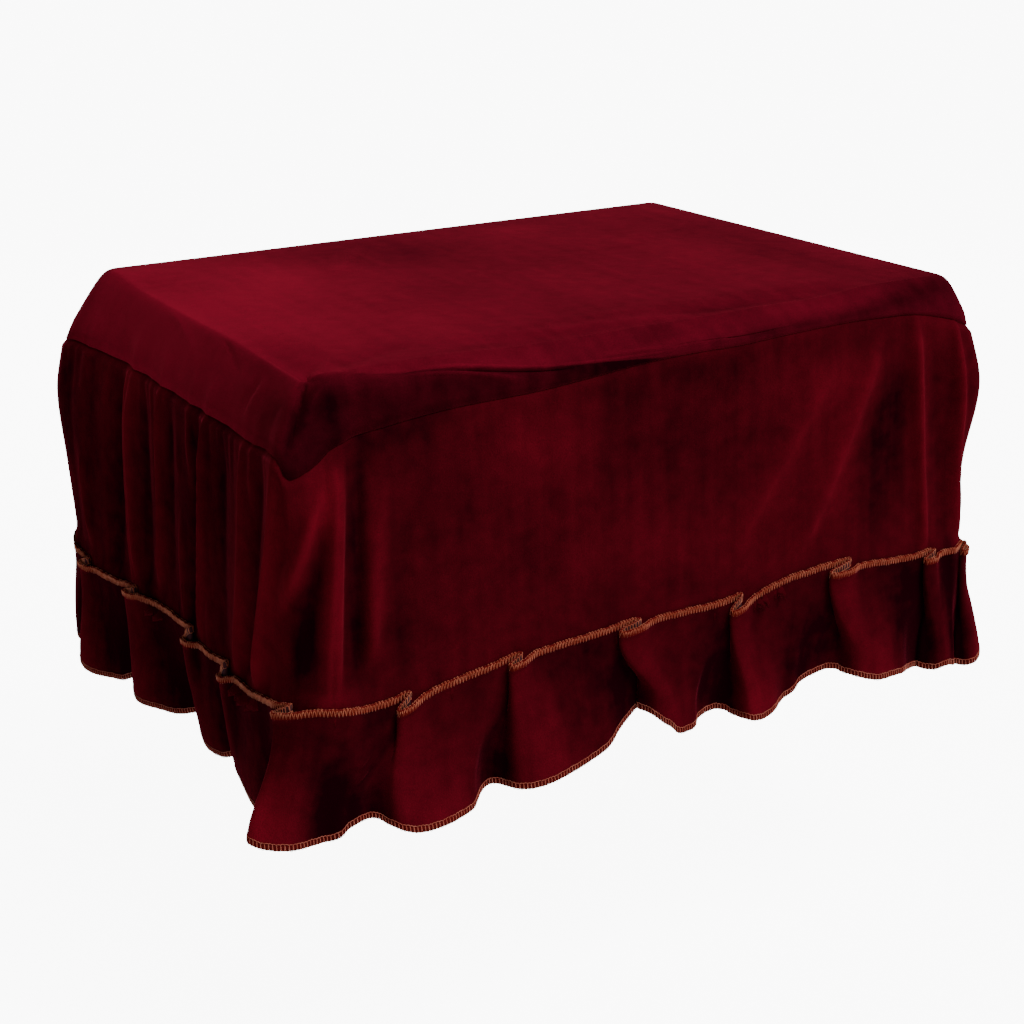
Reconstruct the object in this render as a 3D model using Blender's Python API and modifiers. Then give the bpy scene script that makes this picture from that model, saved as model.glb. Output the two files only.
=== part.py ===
"""A fitted velvet cover for a piano stool, as it sits over its seat: a top panel, a skirt sewn to the
panel's rim, and a pleated ruffle sewn on round the skirt's lower edge.

The cover is hollow and open below. The origin is the middle of the seat that it rests on, +X runs along
the long side, the front faces -Y and +Z is up. The sizes below are millimetres. A place is a distance
round the cover, counted from the back left corner down the left side, then along the front, the right
side and the back. An outset is how far something lies out from the seat's edge, and a drop is how far
it lies below the seat.
"""

import collections
import math

import bmesh
import bpy
from mathutils import Vector

MM = 0.001
WELD = 0.00001

# The seat under the cover, and the cloth.
SEAT_LENGTH = 500.0
SEAT_DEPTH = 368.0
SEAT_CORNER_RADIUS = 6.0
CLOTH = 1.5
SEAM_GAP = 0.3

# Places are counted along a rectangle that lies this far out from the seat.
PLACE_OUTSET = 27.0
SIDE = SEAT_DEPTH + 2 * PLACE_OUTSET
FRONT = SEAT_LENGTH + 2 * PLACE_OUTSET
AROUND = 2 * (SIDE + FRONT)
CORNERS = (0.0, SIDE, SIDE + FRONT, 2 * SIDE + FRONT)
CORNER_REACH = PLACE_OUTSET + SEAT_CORNER_RADIUS

# Mesh rows, from 0 at a sheet's upper edge to 1 at its lower edge.
STRIP_ROWS = (0.0, 0.22, 0.45, 0.7, 1.0)
SKIRT_ROWS = (0.0, 0.07, 0.2, 0.37, 0.55, 0.73, 0.9, 1.0)
RUFFLE_ROWS = (0.0, 0.075, 0.25, 0.42, 0.57, 0.75, 1.0)

# Mesh columns lie at corners and folds, on the corners' arcs and on the folds' flanks, no nearer to each
# other than this, and no wider apart.
ARC_STEPS = (-1, -0.6, -0.3, 0.3, 0.6, 1)
FLANK_STEPS = (-0.8, 0.8)
LEAST_AT_FOLDS = 4.0
LEAST_BESIDE_FOLDS = 6.5
WIDEST_COLUMN = 27.0

# The skirt's folds are pulled flatter at the rim seam, and flatter again at the ruffle seam. They fade
# in and out over a share of the wall's height, and their sides fall off by a width, a power and a
# factor. The folds of the top panel fade out at the seat's edge and at the rim seam.
FOLD_AT_RIM = 0.35
FOLD_AT_RUFFLE = 0.4
FOLD_FADE = 0.2
FOLD_POWER = 1.7
FOLD_FACTOR = 1.2
FLAP_FADE = 0.15

# The skirt's mesh columns lean with the folds that are narrow and run down most of the wall.
NARROW_FOLD = 14.0
LONG_FOLD = 0.7

# The skirt ends behind the ruffle, this far under the seam that holds the ruffle.
SKIRT_ALLOWANCE = 9.0

# The ruffle's header stands above its seam. The layers of a pleat lie a step apart there, and a little
# further apart at the header's free edge.
RUFFLE_HEADER = 5.5
RUFFLE_SEAM_DOWN = 3.0
SEAM_ROW = RUFFLE_ROWS[1]
LAYER_STEP = 2.1
HEADER_SPREAD = 1.35

# The ruffle starts clear of the skirt, and a little further out where it turns a corner.
RUFFLE_GAP = 0.45
SKIRT_CHECKS = (-12.0, -6.0, 0.0, 6.0, 12.0)
SKIRT_CHECK_LEVELS = (0.93, 1.0)
CORNER_CLEARANCE = 1.9
CORNER_CLEARANCE_REACH = 1.6

# Shares of the ruffle's height by which its laps and its flutes are fully open, the power by which it
# leans out towards the hem, and the length of a pleat unit that takes the table's full sizes.
LAPS_OPEN = 0.85
FLUTES_OPEN = 1.06
LEAN_POWER = 1.5
WHOLE_UNIT = 78.0

# This share of a pleat's slip is left at the hem. At the hem, a pleat's drift moves the points along
# that lie this near to it, and fades out over the next ones.
SLIP_AT_HEM = 0.3
DRIFT_WHOLE = 12.0
DRIFT_FADES = 25.0

# rim, high, mid and low: outsets of the wall at four levels from the rim seam to the ruffle seam.
# rim_drop and seam_drop: how far down those two seams lie there. bend_out and bend_drop: where the top
# panel bends over on its way from the seat's edge to the rim seam, and crease: how sharply it bends.
Section = collections.namedtuple(
    "Section", "place rim high mid low rim_drop seam_drop bend_out bend_drop crease"
)
LEVELS = {"rim": 0.0, "high": 0.25, "mid": 0.6, "low": 1.0}
SECTIONS = [
    Section(*row)
    for row in (
        # place, rim, high, mid, low, rim_drop, seam_drop, bend_out, bend_drop, crease
        (0, 46, 55, 51, 47, 54, 213, 9, 1, 2.2),
        (28, 40, 49, 50, 48, 50, 218, 7, 1, 2.2),
        (60, 33, 42, 46, 48, 50, 222, 7, 1, 2.2),
        (102, 27, 33, 38, 43, 50, 220, 6, 1, 2.2),
        (150, 26, 30, 33, 38, 49, 216, 6, 1, 2.2),
        (203, 26, 28, 30, 32, 48, 214, 5, 1, 2.2),
        (282, 25, 27, 29, 30, 47, 218, 4, 1, 2.2),
        (352, 25, 27, 29, 30, 46, 213, 3, 1, 2.2),
        (396, 29, 29, 31, 32, 42, 205, 3, 1, 2.2),
        (412, 35, 33, 33, 34, 41, 203, 3, 1, 2.2),
        (416, 37, 34, 34, 35, 45, 202, 4, 1, 2.2),
        (420, 38, 36, 36, 36, 53, 202, 5, 2, 2.2),
        (430, 31, 33, 33, 34, 51, 202, 6, 2, 2.2),
        (443, 23, 29, 30, 31, 46, 203, 9, 3, 2.2),
        (462, 18, 25, 28, 30, 39, 208, 15, 4, 2.6),
        (486, 18, 23, 27, 30, 34, 211, 18, 5, 4.0),
        (536, 18.5, 23, 26, 29, 29, 205, 18.5, 5, 5.0),
        (603, 20, 23, 26, 29, 27, 200, 19.5, 14, 5.0),
        (682, 20, 23, 26, 29, 21, 199, 18.5, 17, 4.0),
        (722, 20, 23, 26, 29, 20, 200, 18.5, 16, 4.0),
        (754, 21, 24, 26, 29, 20, 203, 19.5, 16, 4.0),
        (802, 21, 24, 26, 29, 18, 194, 19.5, 14, 3.5),
        (846, 21, 24, 26, 29, 17, 196, 19.5, 13, 3.0),
        (880, 21, 24, 25, 29, 18, 200, 18, 11, 2.8),
        (912, 22, 24, 25, 29, 20, 203, 15, 8, 2.5),
        (950, 23, 27, 25, 29, 29, 205, 9, 2, 2.2),
        (976, 28, 38, 30, 29, 36, 207, 9, 1, 2.2),
        (1006, 25, 31, 27, 29, 39, 207, 6, 1, 2.2),
        (1080, 25, 28, 28, 30, 40, 207, 6, 1, 2.2),
        (1190, 25, 27, 29, 31, 38, 208, 6, 1, 2.2),
        (1300, 25, 28, 30, 31, 42, 209, 6, 1, 2.2),
        (1368, 28, 31, 32, 33, 46, 210, 6, 1, 2.2),
        (1398, 37, 42, 38, 38, 50, 210, 8, 1, 2.2),
        (1430, 27, 31, 31, 32, 42, 209, 8, 2, 2.2),
        (1530, 23, 25, 27, 30, 27, 206, 11, 5, 2.6),
        (1676, 23, 24, 27, 30, 22, 204, 13, 7, 3.0),
        (1810, 24, 26, 29, 32, 29, 207, 11, 5, 2.6),
        (1890, 29, 35, 38, 39, 41, 210, 8, 2, 2.2),
    )
]

# Folds of the skirt, as ridges that stand out of the wall, or troughs where the height is negative. top
# and low: the place of the fold at the rim seam and at the ruffle seam. bow: how far it is bowed aside
# halfway. start and end: the levels between which it shows. width: half its breadth. top_height and
# low_height: how far it stands out.
Fold = collections.namedtuple("Fold", "top low bow start end width top_height low_height")
FOLDS = [
    Fold(*row)
    for row in (
        # top, low, bow, start, end, width, top_height, low_height
        (32, 34, 0, 0.0, 1.0, 15, -4.0, -3.0),
        (58, 58, 0, 0.0, 0.25, 6, 2.5, 2.0),
        (40, 68, 0, 0.4, 0.95, 7, 3.0, 4.0),
        (92, 90, 0, 0.0, 1.0, 12, 2.0, 1.0),
        (119, 115, 0, 0.0, 1.0, 10, -3.0, -2.5),
        (142, 150, -8, 0.0, 1.0, 8, 5.5, 4.5),
        (166, 166, 0, 0.0, 1.0, 9, -3.0, -2.5),
        (199, 180, 6, 0.0, 0.97, 7, 4.0, 3.5),
        (219, 206, 0, 0.0, 0.9, 8, -2.5, -1.5),
        (230, 232, 0, 0.1, 0.4, 5, 2.0, 2.0),
        (236, 227, 0, 0.45, 1.0, 6, 2.0, 3.0),
        (254, 254, 0, 0.0, 0.35, 5, 3.0, 2.0),
        (269, 243, 0, 0.0, 1.0, 8, -3.0, -2.5),
        (284, 257, 4, 0.0, 1.0, 6, 4.0, 3.5),
        (310, 268, 0, 0.65, 1.0, 6, 1.0, 2.5),
        (316, 296, 0, 0.0, 1.0, 12, -3.0, -2.5),
        (352, 322, 8, 0.0, 1.0, 12, 3.0, 4.5),
        (367, 366, 0, 0.0, 0.3, 5, 3.0, 2.0),
        (385, 342, 0, 0.0, 1.0, 10, -3.0, -3.5),
        (412, 360, 8, 0.0, 1.0, 11, 3.5, 7.0),
        (447, 384, 0, 0.1, 0.6, 6, 4.0, 5.0),
        (455, 408, 0, 0.15, 0.9, 9, -4.0, -5.0),
        (462, 443, -3, 0.0, 1.0, 5, 4.0, 6.0),
        (475, 458, 0, 0.0, 0.95, 8, -4.5, -3.5),
        (490, 464, 0, 0.1, 0.9, 7, 2.0, 5.0),
        (506, 488, 0, 0.2, 0.9, 12, -1.5, -1.5),
        (857, 718, 0, 0.08, 0.8, 20, 3.0, 3.0),
        (880, 795, 5, 0.03, 0.97, 15, 4.0, 3.0),
        (905, 880, 0, 0.1, 0.95, 16, -2.5, -2.0),
        (909, 926, 0, 0.0, 1.0, 6, 4.0, 3.5),
        (926, 948, 0, 0.05, 1.0, 9, -2.0, -2.0),
        (949, 965, 0, 0.0, 1.0, 7, 4.0, 4.0),
        (1016, 1020, 0, 0.0, 1.0, 12, -3.5, -3.0),
        (1044, 1040, 0, 0.0, 1.0, 11, 4.0, 3.0),
        (1098, 1090, 0, 0.0, 1.0, 12, 3.0, 4.0),
        (1123, 1118, 0, 0.0, 1.0, 12, -2.5, -2.5),
        (1151, 1148, 0, 0.0, 1.0, 10, 4.0, 3.0),
        (1205, 1214, 0, 0.0, 1.0, 11, 3.0, 3.5),
        (1262, 1266, 0, 0.0, 1.0, 10, 4.5, 3.0),
        (1287, 1290, 0, 0.0, 1.0, 12, -3.0, -2.0),
        (1318, 1322, 0, 0.0, 1.0, 9, 3.5, 3.0),
        (1372, 1378, 0, 0.0, 1.0, 11, -3.5, -3.0),
        (1424, 1420, 0, 0.0, 1.0, 10, -3.5, -3.0),
        (1446, 1440, 0, 0.0, 1.0, 9, 4.5, 3.5),
        (1500, 1510, 0, 0.0, 1.0, 13, 2.0, 3.0),
        (1640, 1600, 0, 0.1, 1.0, 24, 2.5, 3.5),
        (1756, 1790, 0, 0.1, 1.0, 22, 2.0, 3.5),
        (1862, 1856, 0, 0.0, 1.0, 11, 3.5, 3.0),
        (1888, 1884, 0, 0.0, 1.0, 11, -3.0, -2.5),
        (1912, 1910, 0, 0.0, 1.0, 10, 4.0, 3.0),
    )
]

# Folds of the top panel where it bends over, from the seat's edge down to the rim seam.
FLAP_FOLDS = [
    Fold(*row)
    for row in (
        # top, low, bow, start, end, width, top_height, low_height
        (462, 419, 0, 0.0, 1.0, 5, 2.5, 4.5),
        (432, 414, 0, 0.1, 1.0, 6, -2.0, -3.0),
        (365, 333, 0, 0.55, 1.0, 4, -2.0, -2.5),
        (373, 341, 0, 0.5, 1.0, 4, 1.5, 1.5),
        (486, 466, 0, 0.2, 1.0, 9, -1.5, -2.0),
    )
]

# Knife pleats of the ruffle. lap: half of what the layers overlap. slip: how far its folds have slipped
# apart, up and down. flute: how far the hem swings out after the pleat. lean: how far the whole hem
# stands out there. height: the strip's length down from the seam. lift: how much higher the hem lies in
# the hollow before the pleat. hollow and reach: how wide the hollow before it and the flute after it
# are at the hem, as shares of common ones, and drift: how far along both have moved. late: how late the
# pleat opens. swing: how much the outer fold itself swings out with the flute.
Pleat = collections.namedtuple(
    "Pleat", "place lap slip flute lean height lift hollow reach drift late swing"
)
PLEATS = [
    Pleat(*row)
    for row in (
        # place, lap, slip, flute, lean, height, lift, hollow, reach, drift, late, swing
        (52, 7.0, 6, 18, -6, 82, 6, 1.0, 1.0, 0, 1.0, 0.6),
        (141, 8.0, 5, 19, -9, 80, 8, 1.0, 1.0, 0, 1.0, 0.2),
        (242, 6.0, 12, 14, -14, 75, 8, 1.0, 1.0, 0, 1.0, 0.1),
        (309, 5.5, 12, 13, -15, 73, 8, 0.8, 1.0, 0, 1.0, 0.2),
        (410, 6.0, 5, 30, -4, 85, 5, 0.8, 0.5, -7, 1.0, 1.0),
        (489, 5.0, 9, 19, 0, 84, 10, 1.5, 1.0, -14, 1.8, 0.2),
        (571, 5.0, 5, 18, -1, 87, 6, 1.2, 1.0, -8, 0.6, 0.3),
        (660, 8.5, 5, 14, -2, 79, 19, 0.75, 1.0, 16, 0.8, 0.2),
        (749, 5.0, 10, 17, -2, 86, 8, 1.4, 1.0, 1, 0.8, 0.8),
        (842, 9.5, 8, 18, -1, 85, 8, 1.6, 1.0, 8, 0.8, 0.2),
        (927, 5.0, 6, 14, 0, 83, -4, 0.9, 1.0, 4, 0.7, 0.2),
        (966, 4.5, 5, 20, 0, 90, -2, 1.0, 1.0, 0, 1.0, 0.2),
        (1050, 6.0, 6, 19, -2, 83, 12, 1.2, 1.0, 6, 0.8, 0.2),
        (1139, 7.5, 9, 21, -4, 82, 10, 1.4, 1.0, -5, 1.4, 0.3),
        (1222, 5.5, 4, 17, -5, 82, 14, 1.0, 1.0, 8, 0.8, 0.2),
        (1311, 7.5, 12, 20, -4, 83, 9, 1.0, 1.0, -6, 1.0, 0.2),
        (1394, 7.0, 5, 22, -2, 84, 8, 1.2, 1.0, 0, 1.2, 0.6),
        (1480, 5.5, 10, 18, -1, 83, 12, 1.4, 1.0, -8, 1.6, 0.2),
        (1568, 8.0, 5, 20, -3, 82, 9, 1.1, 1.0, 6, 0.7, 0.3),
        (1655, 5.5, 12, 17, -4, 82, 16, 0.9, 1.0, 4, 0.9, 0.2),
        (1738, 7.5, 6, 21, -3, 83, 9, 1.4, 1.0, -6, 1.3, 0.2),
        (1826, 6.0, 9, 18, -2, 82, 13, 1.2, 1.0, 5, 0.8, 0.3),
        (1917, 7.0, 6, 34, -25, 80, 8, 1.0, 1.0, 0, 0.4, 0.5),
    )
]

# The points of one pleat unit, from the outer fold of a pleat to the outer fold of the next one. end: 0
# counts from this pleat and 1 from the next. laps and run: its place at the seam, in laps and in
# millimetres. layer: which layer of the pleat it lies in there. slip: its share of the slip. hem_run:
# its place at the hem. Where hem_share isn't 0, that place is a share of the way between the crest's two
# ends instead. share: its share of the flute, and swung: its share where the outer fold swings out with
# it. base: what it stands out besides. lift: its share of the hollow's lift. late: how late on the way
# down it swings out.
Point = collections.namedtuple(
    "Point", "end laps run layer slip hem_run hem_share share swung base lift late"
)
UNIT = [
    Point(*row)
    for row in (
        # end, laps, run, layer, slip, hem_run, hem_share, share, swung, base, lift, late
        (0, -1, 0.0, 1.5, 0.42, 0.0, 0, 0.10, 0.85, 9.6, 0.85, 1.2),
        (0, -1, 1.4, 2.0, 0.42, 4.5, 0, 0.32, 0.95, 9.2, 0.6, 1.2),
        (0, 1, 0.0, 1.85, 0.3, 14.0, 0, 0.75, 1.0, 5.5, 0.22, 1.2),
        (0, 1, 11.0, 0.3, 0.08, 25.0, 0, 1.0, 0.8, 4.0, 0.03, 1.2),
        (0.5, 0, 0.0, 0.0, 0.0, 0.0, 0.45, 0.94, 0.15, 4.0, 0.0, 1.2),
        (1, -1, -16.0, 0.0, -0.08, 0.0, 0.78, 0.7, 0.1, 4.0, 0.14, 1.6),
        (1, -1, -3.0, 0.0, -0.3, -24.0, 0, 0.36, 0.05, 3.0, 0.52, 2.4),
        (1, 1, -1.4, 0.0, -0.55, -15.5, 0, 0.08, 0.04, 2.0, 0.86, 2.4),
        (1, 1, 0.0, 0.5, -0.58, -9.5, 0, 0.0, 0.0, 2.2, 1.0, 1.2),
        (1, 1, -1.4, 1.0, -0.5, -8.0, 0, 0.0, 0.0, 4.6, 1.0, 1.2),
        (1, -1, 1.4, 1.0, 0.3, -3.6, 0, 0.0, 0.0, 8.2, 0.96, 1.2),
    )
]
CREST_START = UNIT[3]
CREST_END = UNIT[6]

# A point further back than this at the hem moves with the width of the hollow.
HOLLOW_STARTS = -8.0


def ease(x):
    """0 to 1 with a soft start and a soft end."""
    x = min(max(x, 0.0), 1.0)
    return x * x * (3 - 2 * x)


def mix(a, b, share):
    return a + (b - a) * share


def between(place, other):
    """The distance from another place to this one, the short way round."""
    return (place - other + AROUND / 2) % AROUND - AROUND / 2


def curve(knots, x):
    """A smooth curve through (x, y) knots in order."""
    last = len(knots) - 1
    i = next((k for k in range(last) if x <= knots[k + 1][0]), last - 1)
    (xa, ya), (xb, yb) = knots[i], knots[i + 1]
    before = knots[max(i - 1, 0)]
    after = knots[min(i + 2, last)]
    slope_a = (yb - before[1]) / (xb - before[0])
    slope_b = (after[1] - ya) / (after[0] - xa)
    width = xb - xa
    u = (x - xa) / width
    return (
        (2 * u**3 - 3 * u**2 + 1) * ya
        + (u**3 - 2 * u**2 + u) * width * slope_a
        + (3 * u**2 - 2 * u**3) * yb
        + (u**3 - u**2) * width * slope_b
    )


def section(column, place):
    """A column of the sections, smoothly between their places all the way round."""
    place %= AROUND
    turns = (-AROUND, 0.0, AROUND)
    knots = [(s.place + turn, getattr(s, column)) for turn in turns for s in SECTIONS]
    i = max(k for k, knot in enumerate(knots) if knot[0] <= place)
    return curve(knots[i - 1 : i + 3], place)


def spot(place, outset, drop):
    """The point at a place, an outset and a drop, in metres."""
    place = (place + CORNER_REACH) % AROUND - CORNER_REACH
    side = sum(place >= corner - CORNER_REACH for corner in CORNERS) - 1
    run = place - CORNERS[side]
    # A corner turns by 90 degrees over its reach on both sides, and the wall is straight from there on.
    turn = math.radians(90 * side - 45 * (1 - min(run / CORNER_REACH, 1.0)))
    straight = max(run - CORNER_REACH, 0.0)
    x_sign, y_sign = ((-1, 1), (-1, -1), (1, -1), (1, 1))[side]
    arc_x = x_sign * (SEAT_LENGTH / 2 - SEAT_CORNER_RADIUS)
    arc_y = y_sign * (SEAT_DEPTH / 2 - SEAT_CORNER_RADIUS)
    out = SEAT_CORNER_RADIUS + outset
    x = arc_x - math.cos(turn) * out + math.sin(turn) * straight
    y = arc_y - math.sin(turn) * out - math.cos(turn) * straight
    return x * MM, y * MM, -drop * MM


def fold_height(folds, place, level):
    """How far a table's folds stand out there."""
    total = 0.0
    for fold in folds:
        bow = 4 * fold.bow * level * (1 - level)
        away = between(place, mix(fold.top, fold.low, level) + bow)
        shows = 1.0
        if fold.start > 0:
            shows *= ease((level - fold.start) / FOLD_FADE)
        if fold.end < 1:
            shows *= ease((fold.end - level) / FOLD_FADE)
        height = mix(fold.top_height, fold.low_height, level)
        total += shows * height * math.exp(-FOLD_FACTOR * abs(away / fold.width) ** FOLD_POWER)
    at_rim = mix(FOLD_AT_RIM, 1.0, ease(level / FOLD_FADE))
    at_ruffle = mix(1.0, FOLD_AT_RUFFLE, ease((level - 1) / FOLD_FADE + 1))
    return total * at_rim * at_ruffle


def wall(place, level):
    """The outset and drop of the skirt's inner face. Level 0 is the rim seam and 1 the ruffle seam."""
    knots = [(at, section(column, place)) for column, at in LEVELS.items()]
    inside = min(level, 1.0)
    outset = curve(knots, inside) - CLOTH + fold_height(FOLDS, place, inside)
    return outset, mix(section("rim_drop", place), section("seam_drop", place), level)


def strip(place, along):
    """The outset and drop of the top panel's inner face, from 0 at the seat's edge to 1 at the rim."""
    outset, drop = wall(place, 0.0)
    bend_out = section("bend_out", place)
    bend_drop = section("bend_drop", place)
    # A curve from the edge to the seam that is pulled towards the bend.
    pull = 2 * section("crease", place) * along * (1 - along)
    end = along * along
    whole = (1 - along) ** 2 + pull + end
    fades = ease(along / FLAP_FADE) * ease((1 - along) / FLAP_FADE)
    fold = fold_height(FLAP_FOLDS, place, along) * fades
    return (pull * bend_out + end * outset) / whole + fold, (pull * bend_drop + end * drop) / whole


def top_point(column, row):
    place = PLACES[column]
    return spot(place, *strip(place, STRIP_ROWS[row]))


def skirt_point(column, row):
    """A point of the skirt's inner face. The mesh columns lean with the narrow folds."""
    place = PLACES[column]
    long = section("seam_drop", place) - section("rim_drop", place)
    level = SKIRT_ROWS[row] * (1 + SKIRT_ALLOWANCE / long)
    place += fold_lean(place) * min(level, 1.0)
    outset, drop = wall(place, level)
    return spot(place, outset, drop + SEAM_GAP)


def fold_lean(place):
    """How far the narrow folds near a place have moved along by the ruffle seam."""
    guides = [f for f in FOLDS if f.width < NARROW_FOLD and f.end - f.start > LONG_FOLD]
    knots = sorted((f.top, f.low - f.top) for f in guides)
    knots = [(0.0, 0.0)] + knots + [(AROUND, 0.0)]
    i = max(k for k, knot in enumerate(knots[:-1]) if knot[0] <= place)
    (here, lean), (after, lean_after) = knots[i], knots[i + 1]
    return mix(lean, lean_after, (place - here) / (after - here))


def skirt_outside(place):
    """The outset at which the ruffle starts, clear of the skirt between the mesh columns too."""
    near = [wall(place + step, level)[0] for step in SKIRT_CHECKS for level in SKIRT_CHECK_LEVELS]
    to_corner = min(abs(between(place, corner)) for corner in CORNERS)
    at_corner = ease(CORNER_CLEARANCE_REACH - to_corner / CORNER_REACH)
    return max(near) + CLOTH + CORNER_CLEARANCE * at_corner


def hem_run(point, near, narrow):
    """How far along from its pleat a point lies at the hem."""
    if point.hem_run < HOLLOW_STARTS:
        width = near.hollow
    elif point.hem_run > 0:
        width = near.reach
    else:
        width = 1.0
    follows = 1 - ease((abs(point.hem_run) - DRIFT_WHOLE) / DRIFT_FADES)
    return point.hem_run * narrow * width + near.drift * follows


def ruffle_point(column, row):
    """A point of the ruffle's middle surface. Columns count the units' points."""
    here = PLEATS[column // len(UNIT)]
    after = PLEATS[(column // len(UNIT) + 1) % len(PLEATS)]
    point = UNIT[column % len(UNIT)]
    length = (after.place - here.place) % AROUND
    narrow = min(1.0, length / WHOLE_UNIT)
    down = RUFFLE_ROWS[row]
    below = max(down - SEAM_ROW, 0.0) / (1.0 - SEAM_ROW)
    opens = ease(below / FLUTES_OPEN)

    # Along the wall: laps at the seam, which open into a wave by the hem.
    near = after if point.end == 1 else here
    seam_run = length * point.end + point.laps * near.lap + point.run * narrow
    if point.hem_share:
        start = hem_run(CREST_START, here, narrow)
        hem_place = mix(start, length + hem_run(CREST_END, after, narrow), point.hem_share)
    else:
        hem_place = length * point.end + hem_run(point, near, narrow)
    place = here.place + mix(seam_run, hem_place, ease(below / LAPS_OPEN))
    part = (place - here.place) / length

    # Out from the skirt: layer on layer at the seam, and flutes at the hem.
    spread = HEADER_SPREAD if down < SEAM_ROW else 1.0
    at_seam = CLOTH / 2 + RUFFLE_GAP + point.layer * LAYER_STEP * spread
    late = point.late * mix(here.late, after.late, point.end)
    flute = mix(point.share, point.swung, here.swing) * here.flute * math.sqrt(narrow) * opens**late
    lean = mix(here.lean, after.lean, ease(part)) * below**LEAN_POWER
    out = mix(at_seam, point.base, opens) + flute + lean

    # Down: the strip keeps its length, and the pleat's layers have slipped up and down a little.
    slipped = near.slip * point.slip * mix(1.0, SLIP_AT_HEM, opens)
    height = mix(here.height, after.height, ease(part))
    fall = height * below - 0.5 * out**2 / height * below - near.lift * point.lift * opens
    if down < SEAM_ROW:
        fall = RUFFLE_HEADER * (down / SEAM_ROW - 1)
    drop = section("seam_drop", place) + RUFFLE_SEAM_DOWN + fall + slipped
    return spot(place, skirt_outside(place) + out, drop)


def mesh_columns():
    """The places of the mesh columns: close together at folds and corners, and wide apart elsewhere."""
    corners = list(CORNERS)
    fold_tops = [fold.top for fold in FOLDS]
    arcs = [corner + CORNER_REACH * step for corner in CORNERS for step in ARC_STEPS]
    flanks = [fold.top + fold.width * step for fold in FOLDS for step in FLANK_STEPS]
    wishes = [(corners, LEAST_AT_FOLDS), (fold_tops, LEAST_AT_FOLDS)]
    wishes += [(arcs, LEAST_BESIDE_FOLDS), (flanks, LEAST_BESIDE_FOLDS)]
    kept = []
    for wanted, least in wishes:
        for place in sorted(place % AROUND for place in wanted):
            if all(abs(between(place, other)) > least for other in kept):
                kept.append(place)
    kept.sort()
    filled = []
    for here, after in zip(kept, kept[1:] + [kept[0] + AROUND]):
        parts = math.ceil((after - here) / WIDEST_COLUMN)
        filled += [mix(here, after, k / parts) for k in range(parts)]
    return filled


def sheet_ring(columns, rows, point_of):
    """A closed ring of cloth: a grid whose vertices move to point_of, joined end to end."""
    ring = bmesh.new()
    bmesh.ops.create_grid(ring, x_segments=columns, y_segments=rows, size=0.5)
    for v in ring.verts:
        column = round((v.co.x + 0.5) * columns)
        row = round((0.5 - v.co.y) * rows)
        v.co = point_of(column % columns, row)
    bmesh.ops.remove_doubles(ring, verts=ring.verts, dist=WELD)
    return ring


def close_top(ring):
    """Fills the ring's upper opening, which lies flat on the seat."""
    loop = [e for e in ring.edges if e.is_boundary and all(v.co.z > -WELD for v in e.verts)]
    bmesh.ops.edgeloop_fill(ring, edges=loop)


def new_sheet(name, ring):
    """Makes the object, with the front of its faces turned away from the cover's inside."""
    bmesh.ops.recalc_face_normals(ring, faces=ring.faces)
    mesh = bpy.data.meshes.new(name)
    ring.to_mesh(mesh)
    ring.free()
    inside = Vector((0.0, 0.0, -SEAT_LENGTH * MM))
    if sum(p.normal.dot(p.center - inside) * p.area for p in mesh.polygons) < 0:
        mesh.flip_normals()
    mesh.shade_smooth()
    obj = bpy.data.objects.new(name, mesh)
    cover.objects.link(obj)
    return obj


def thicken(obj, offset, even):
    """Gives a sheet the cloth's thickness: offset 1 grows it outwards, and 0 to both sides."""
    cloth = obj.modifiers.new("cloth", "SOLIDIFY")
    cloth.thickness = CLOTH * MM
    cloth.offset = offset
    cloth.use_even_offset = even


def give_velvet(obj, colour):
    velvet = bpy.data.materials.new(obj.name)
    velvet.use_nodes = True
    shader = velvet.node_tree.nodes["Principled BSDF"]
    shader.inputs["Base Color"].default_value = (*colour, 1)
    shader.inputs["Roughness"].default_value = 0.75
    shader.inputs["Sheen Weight"].default_value = 0.6
    obj.data.materials.append(velvet)


for obj in list(bpy.data.objects):
    bpy.data.objects.remove(obj)
cover = bpy.data.collections.new("piano_stool_cover")
bpy.context.scene.collection.children.link(cover)

PLACES = mesh_columns()

# Top panel: flat on the seat, then bent down over its edge to the rim seam.
panel_ring = sheet_ring(len(PLACES), len(STRIP_ROWS) - 1, top_point)
close_top(panel_ring)
top_panel = new_sheet("top_panel", panel_ring)
thicken(top_panel, offset=1, even=True)
give_velvet(top_panel, (0.18, 0.006, 0.02))

# Skirt: one ring of cloth that hangs from the rim seam.
skirt = new_sheet("skirt", sheet_ring(len(PLACES), len(SKIRT_ROWS) - 1, skirt_point))
thicken(skirt, offset=1, even=True)
give_velvet(skirt, (0.1, 0.003, 0.012))

# Ruffle: one strip, laid in knife pleats at the seam and open at the hem.
ruffle_ring = sheet_ring(len(PLEATS) * len(UNIT), len(RUFFLE_ROWS) - 1, ruffle_point)
ruffle = new_sheet("ruffle", ruffle_ring)
thicken(ruffle, offset=0, even=False)
give_velvet(ruffle, (0.12, 0.003, 0.014))
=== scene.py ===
# %% [markdown]
# # A velvet cover for a piano stool
#
# The real thing is three pieces of dark red velvet: a top panel, a skirt sewn to its rim, and a ruffle laid
# in pleats and sewn on round the lower edge. Its raw edges are bound with orange overlock thread. It is
# empty: the stool that it is pulled over is not part of it.
#
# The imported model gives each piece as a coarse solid. This lesson builds the same pieces again as fine
# sheets, on the same folds, then adds the creases, the sewing and the velvet.

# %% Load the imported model
import collections
import math

import bmesh
import bpy
import numpy as np
from mathutils import Matrix, Vector


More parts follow.
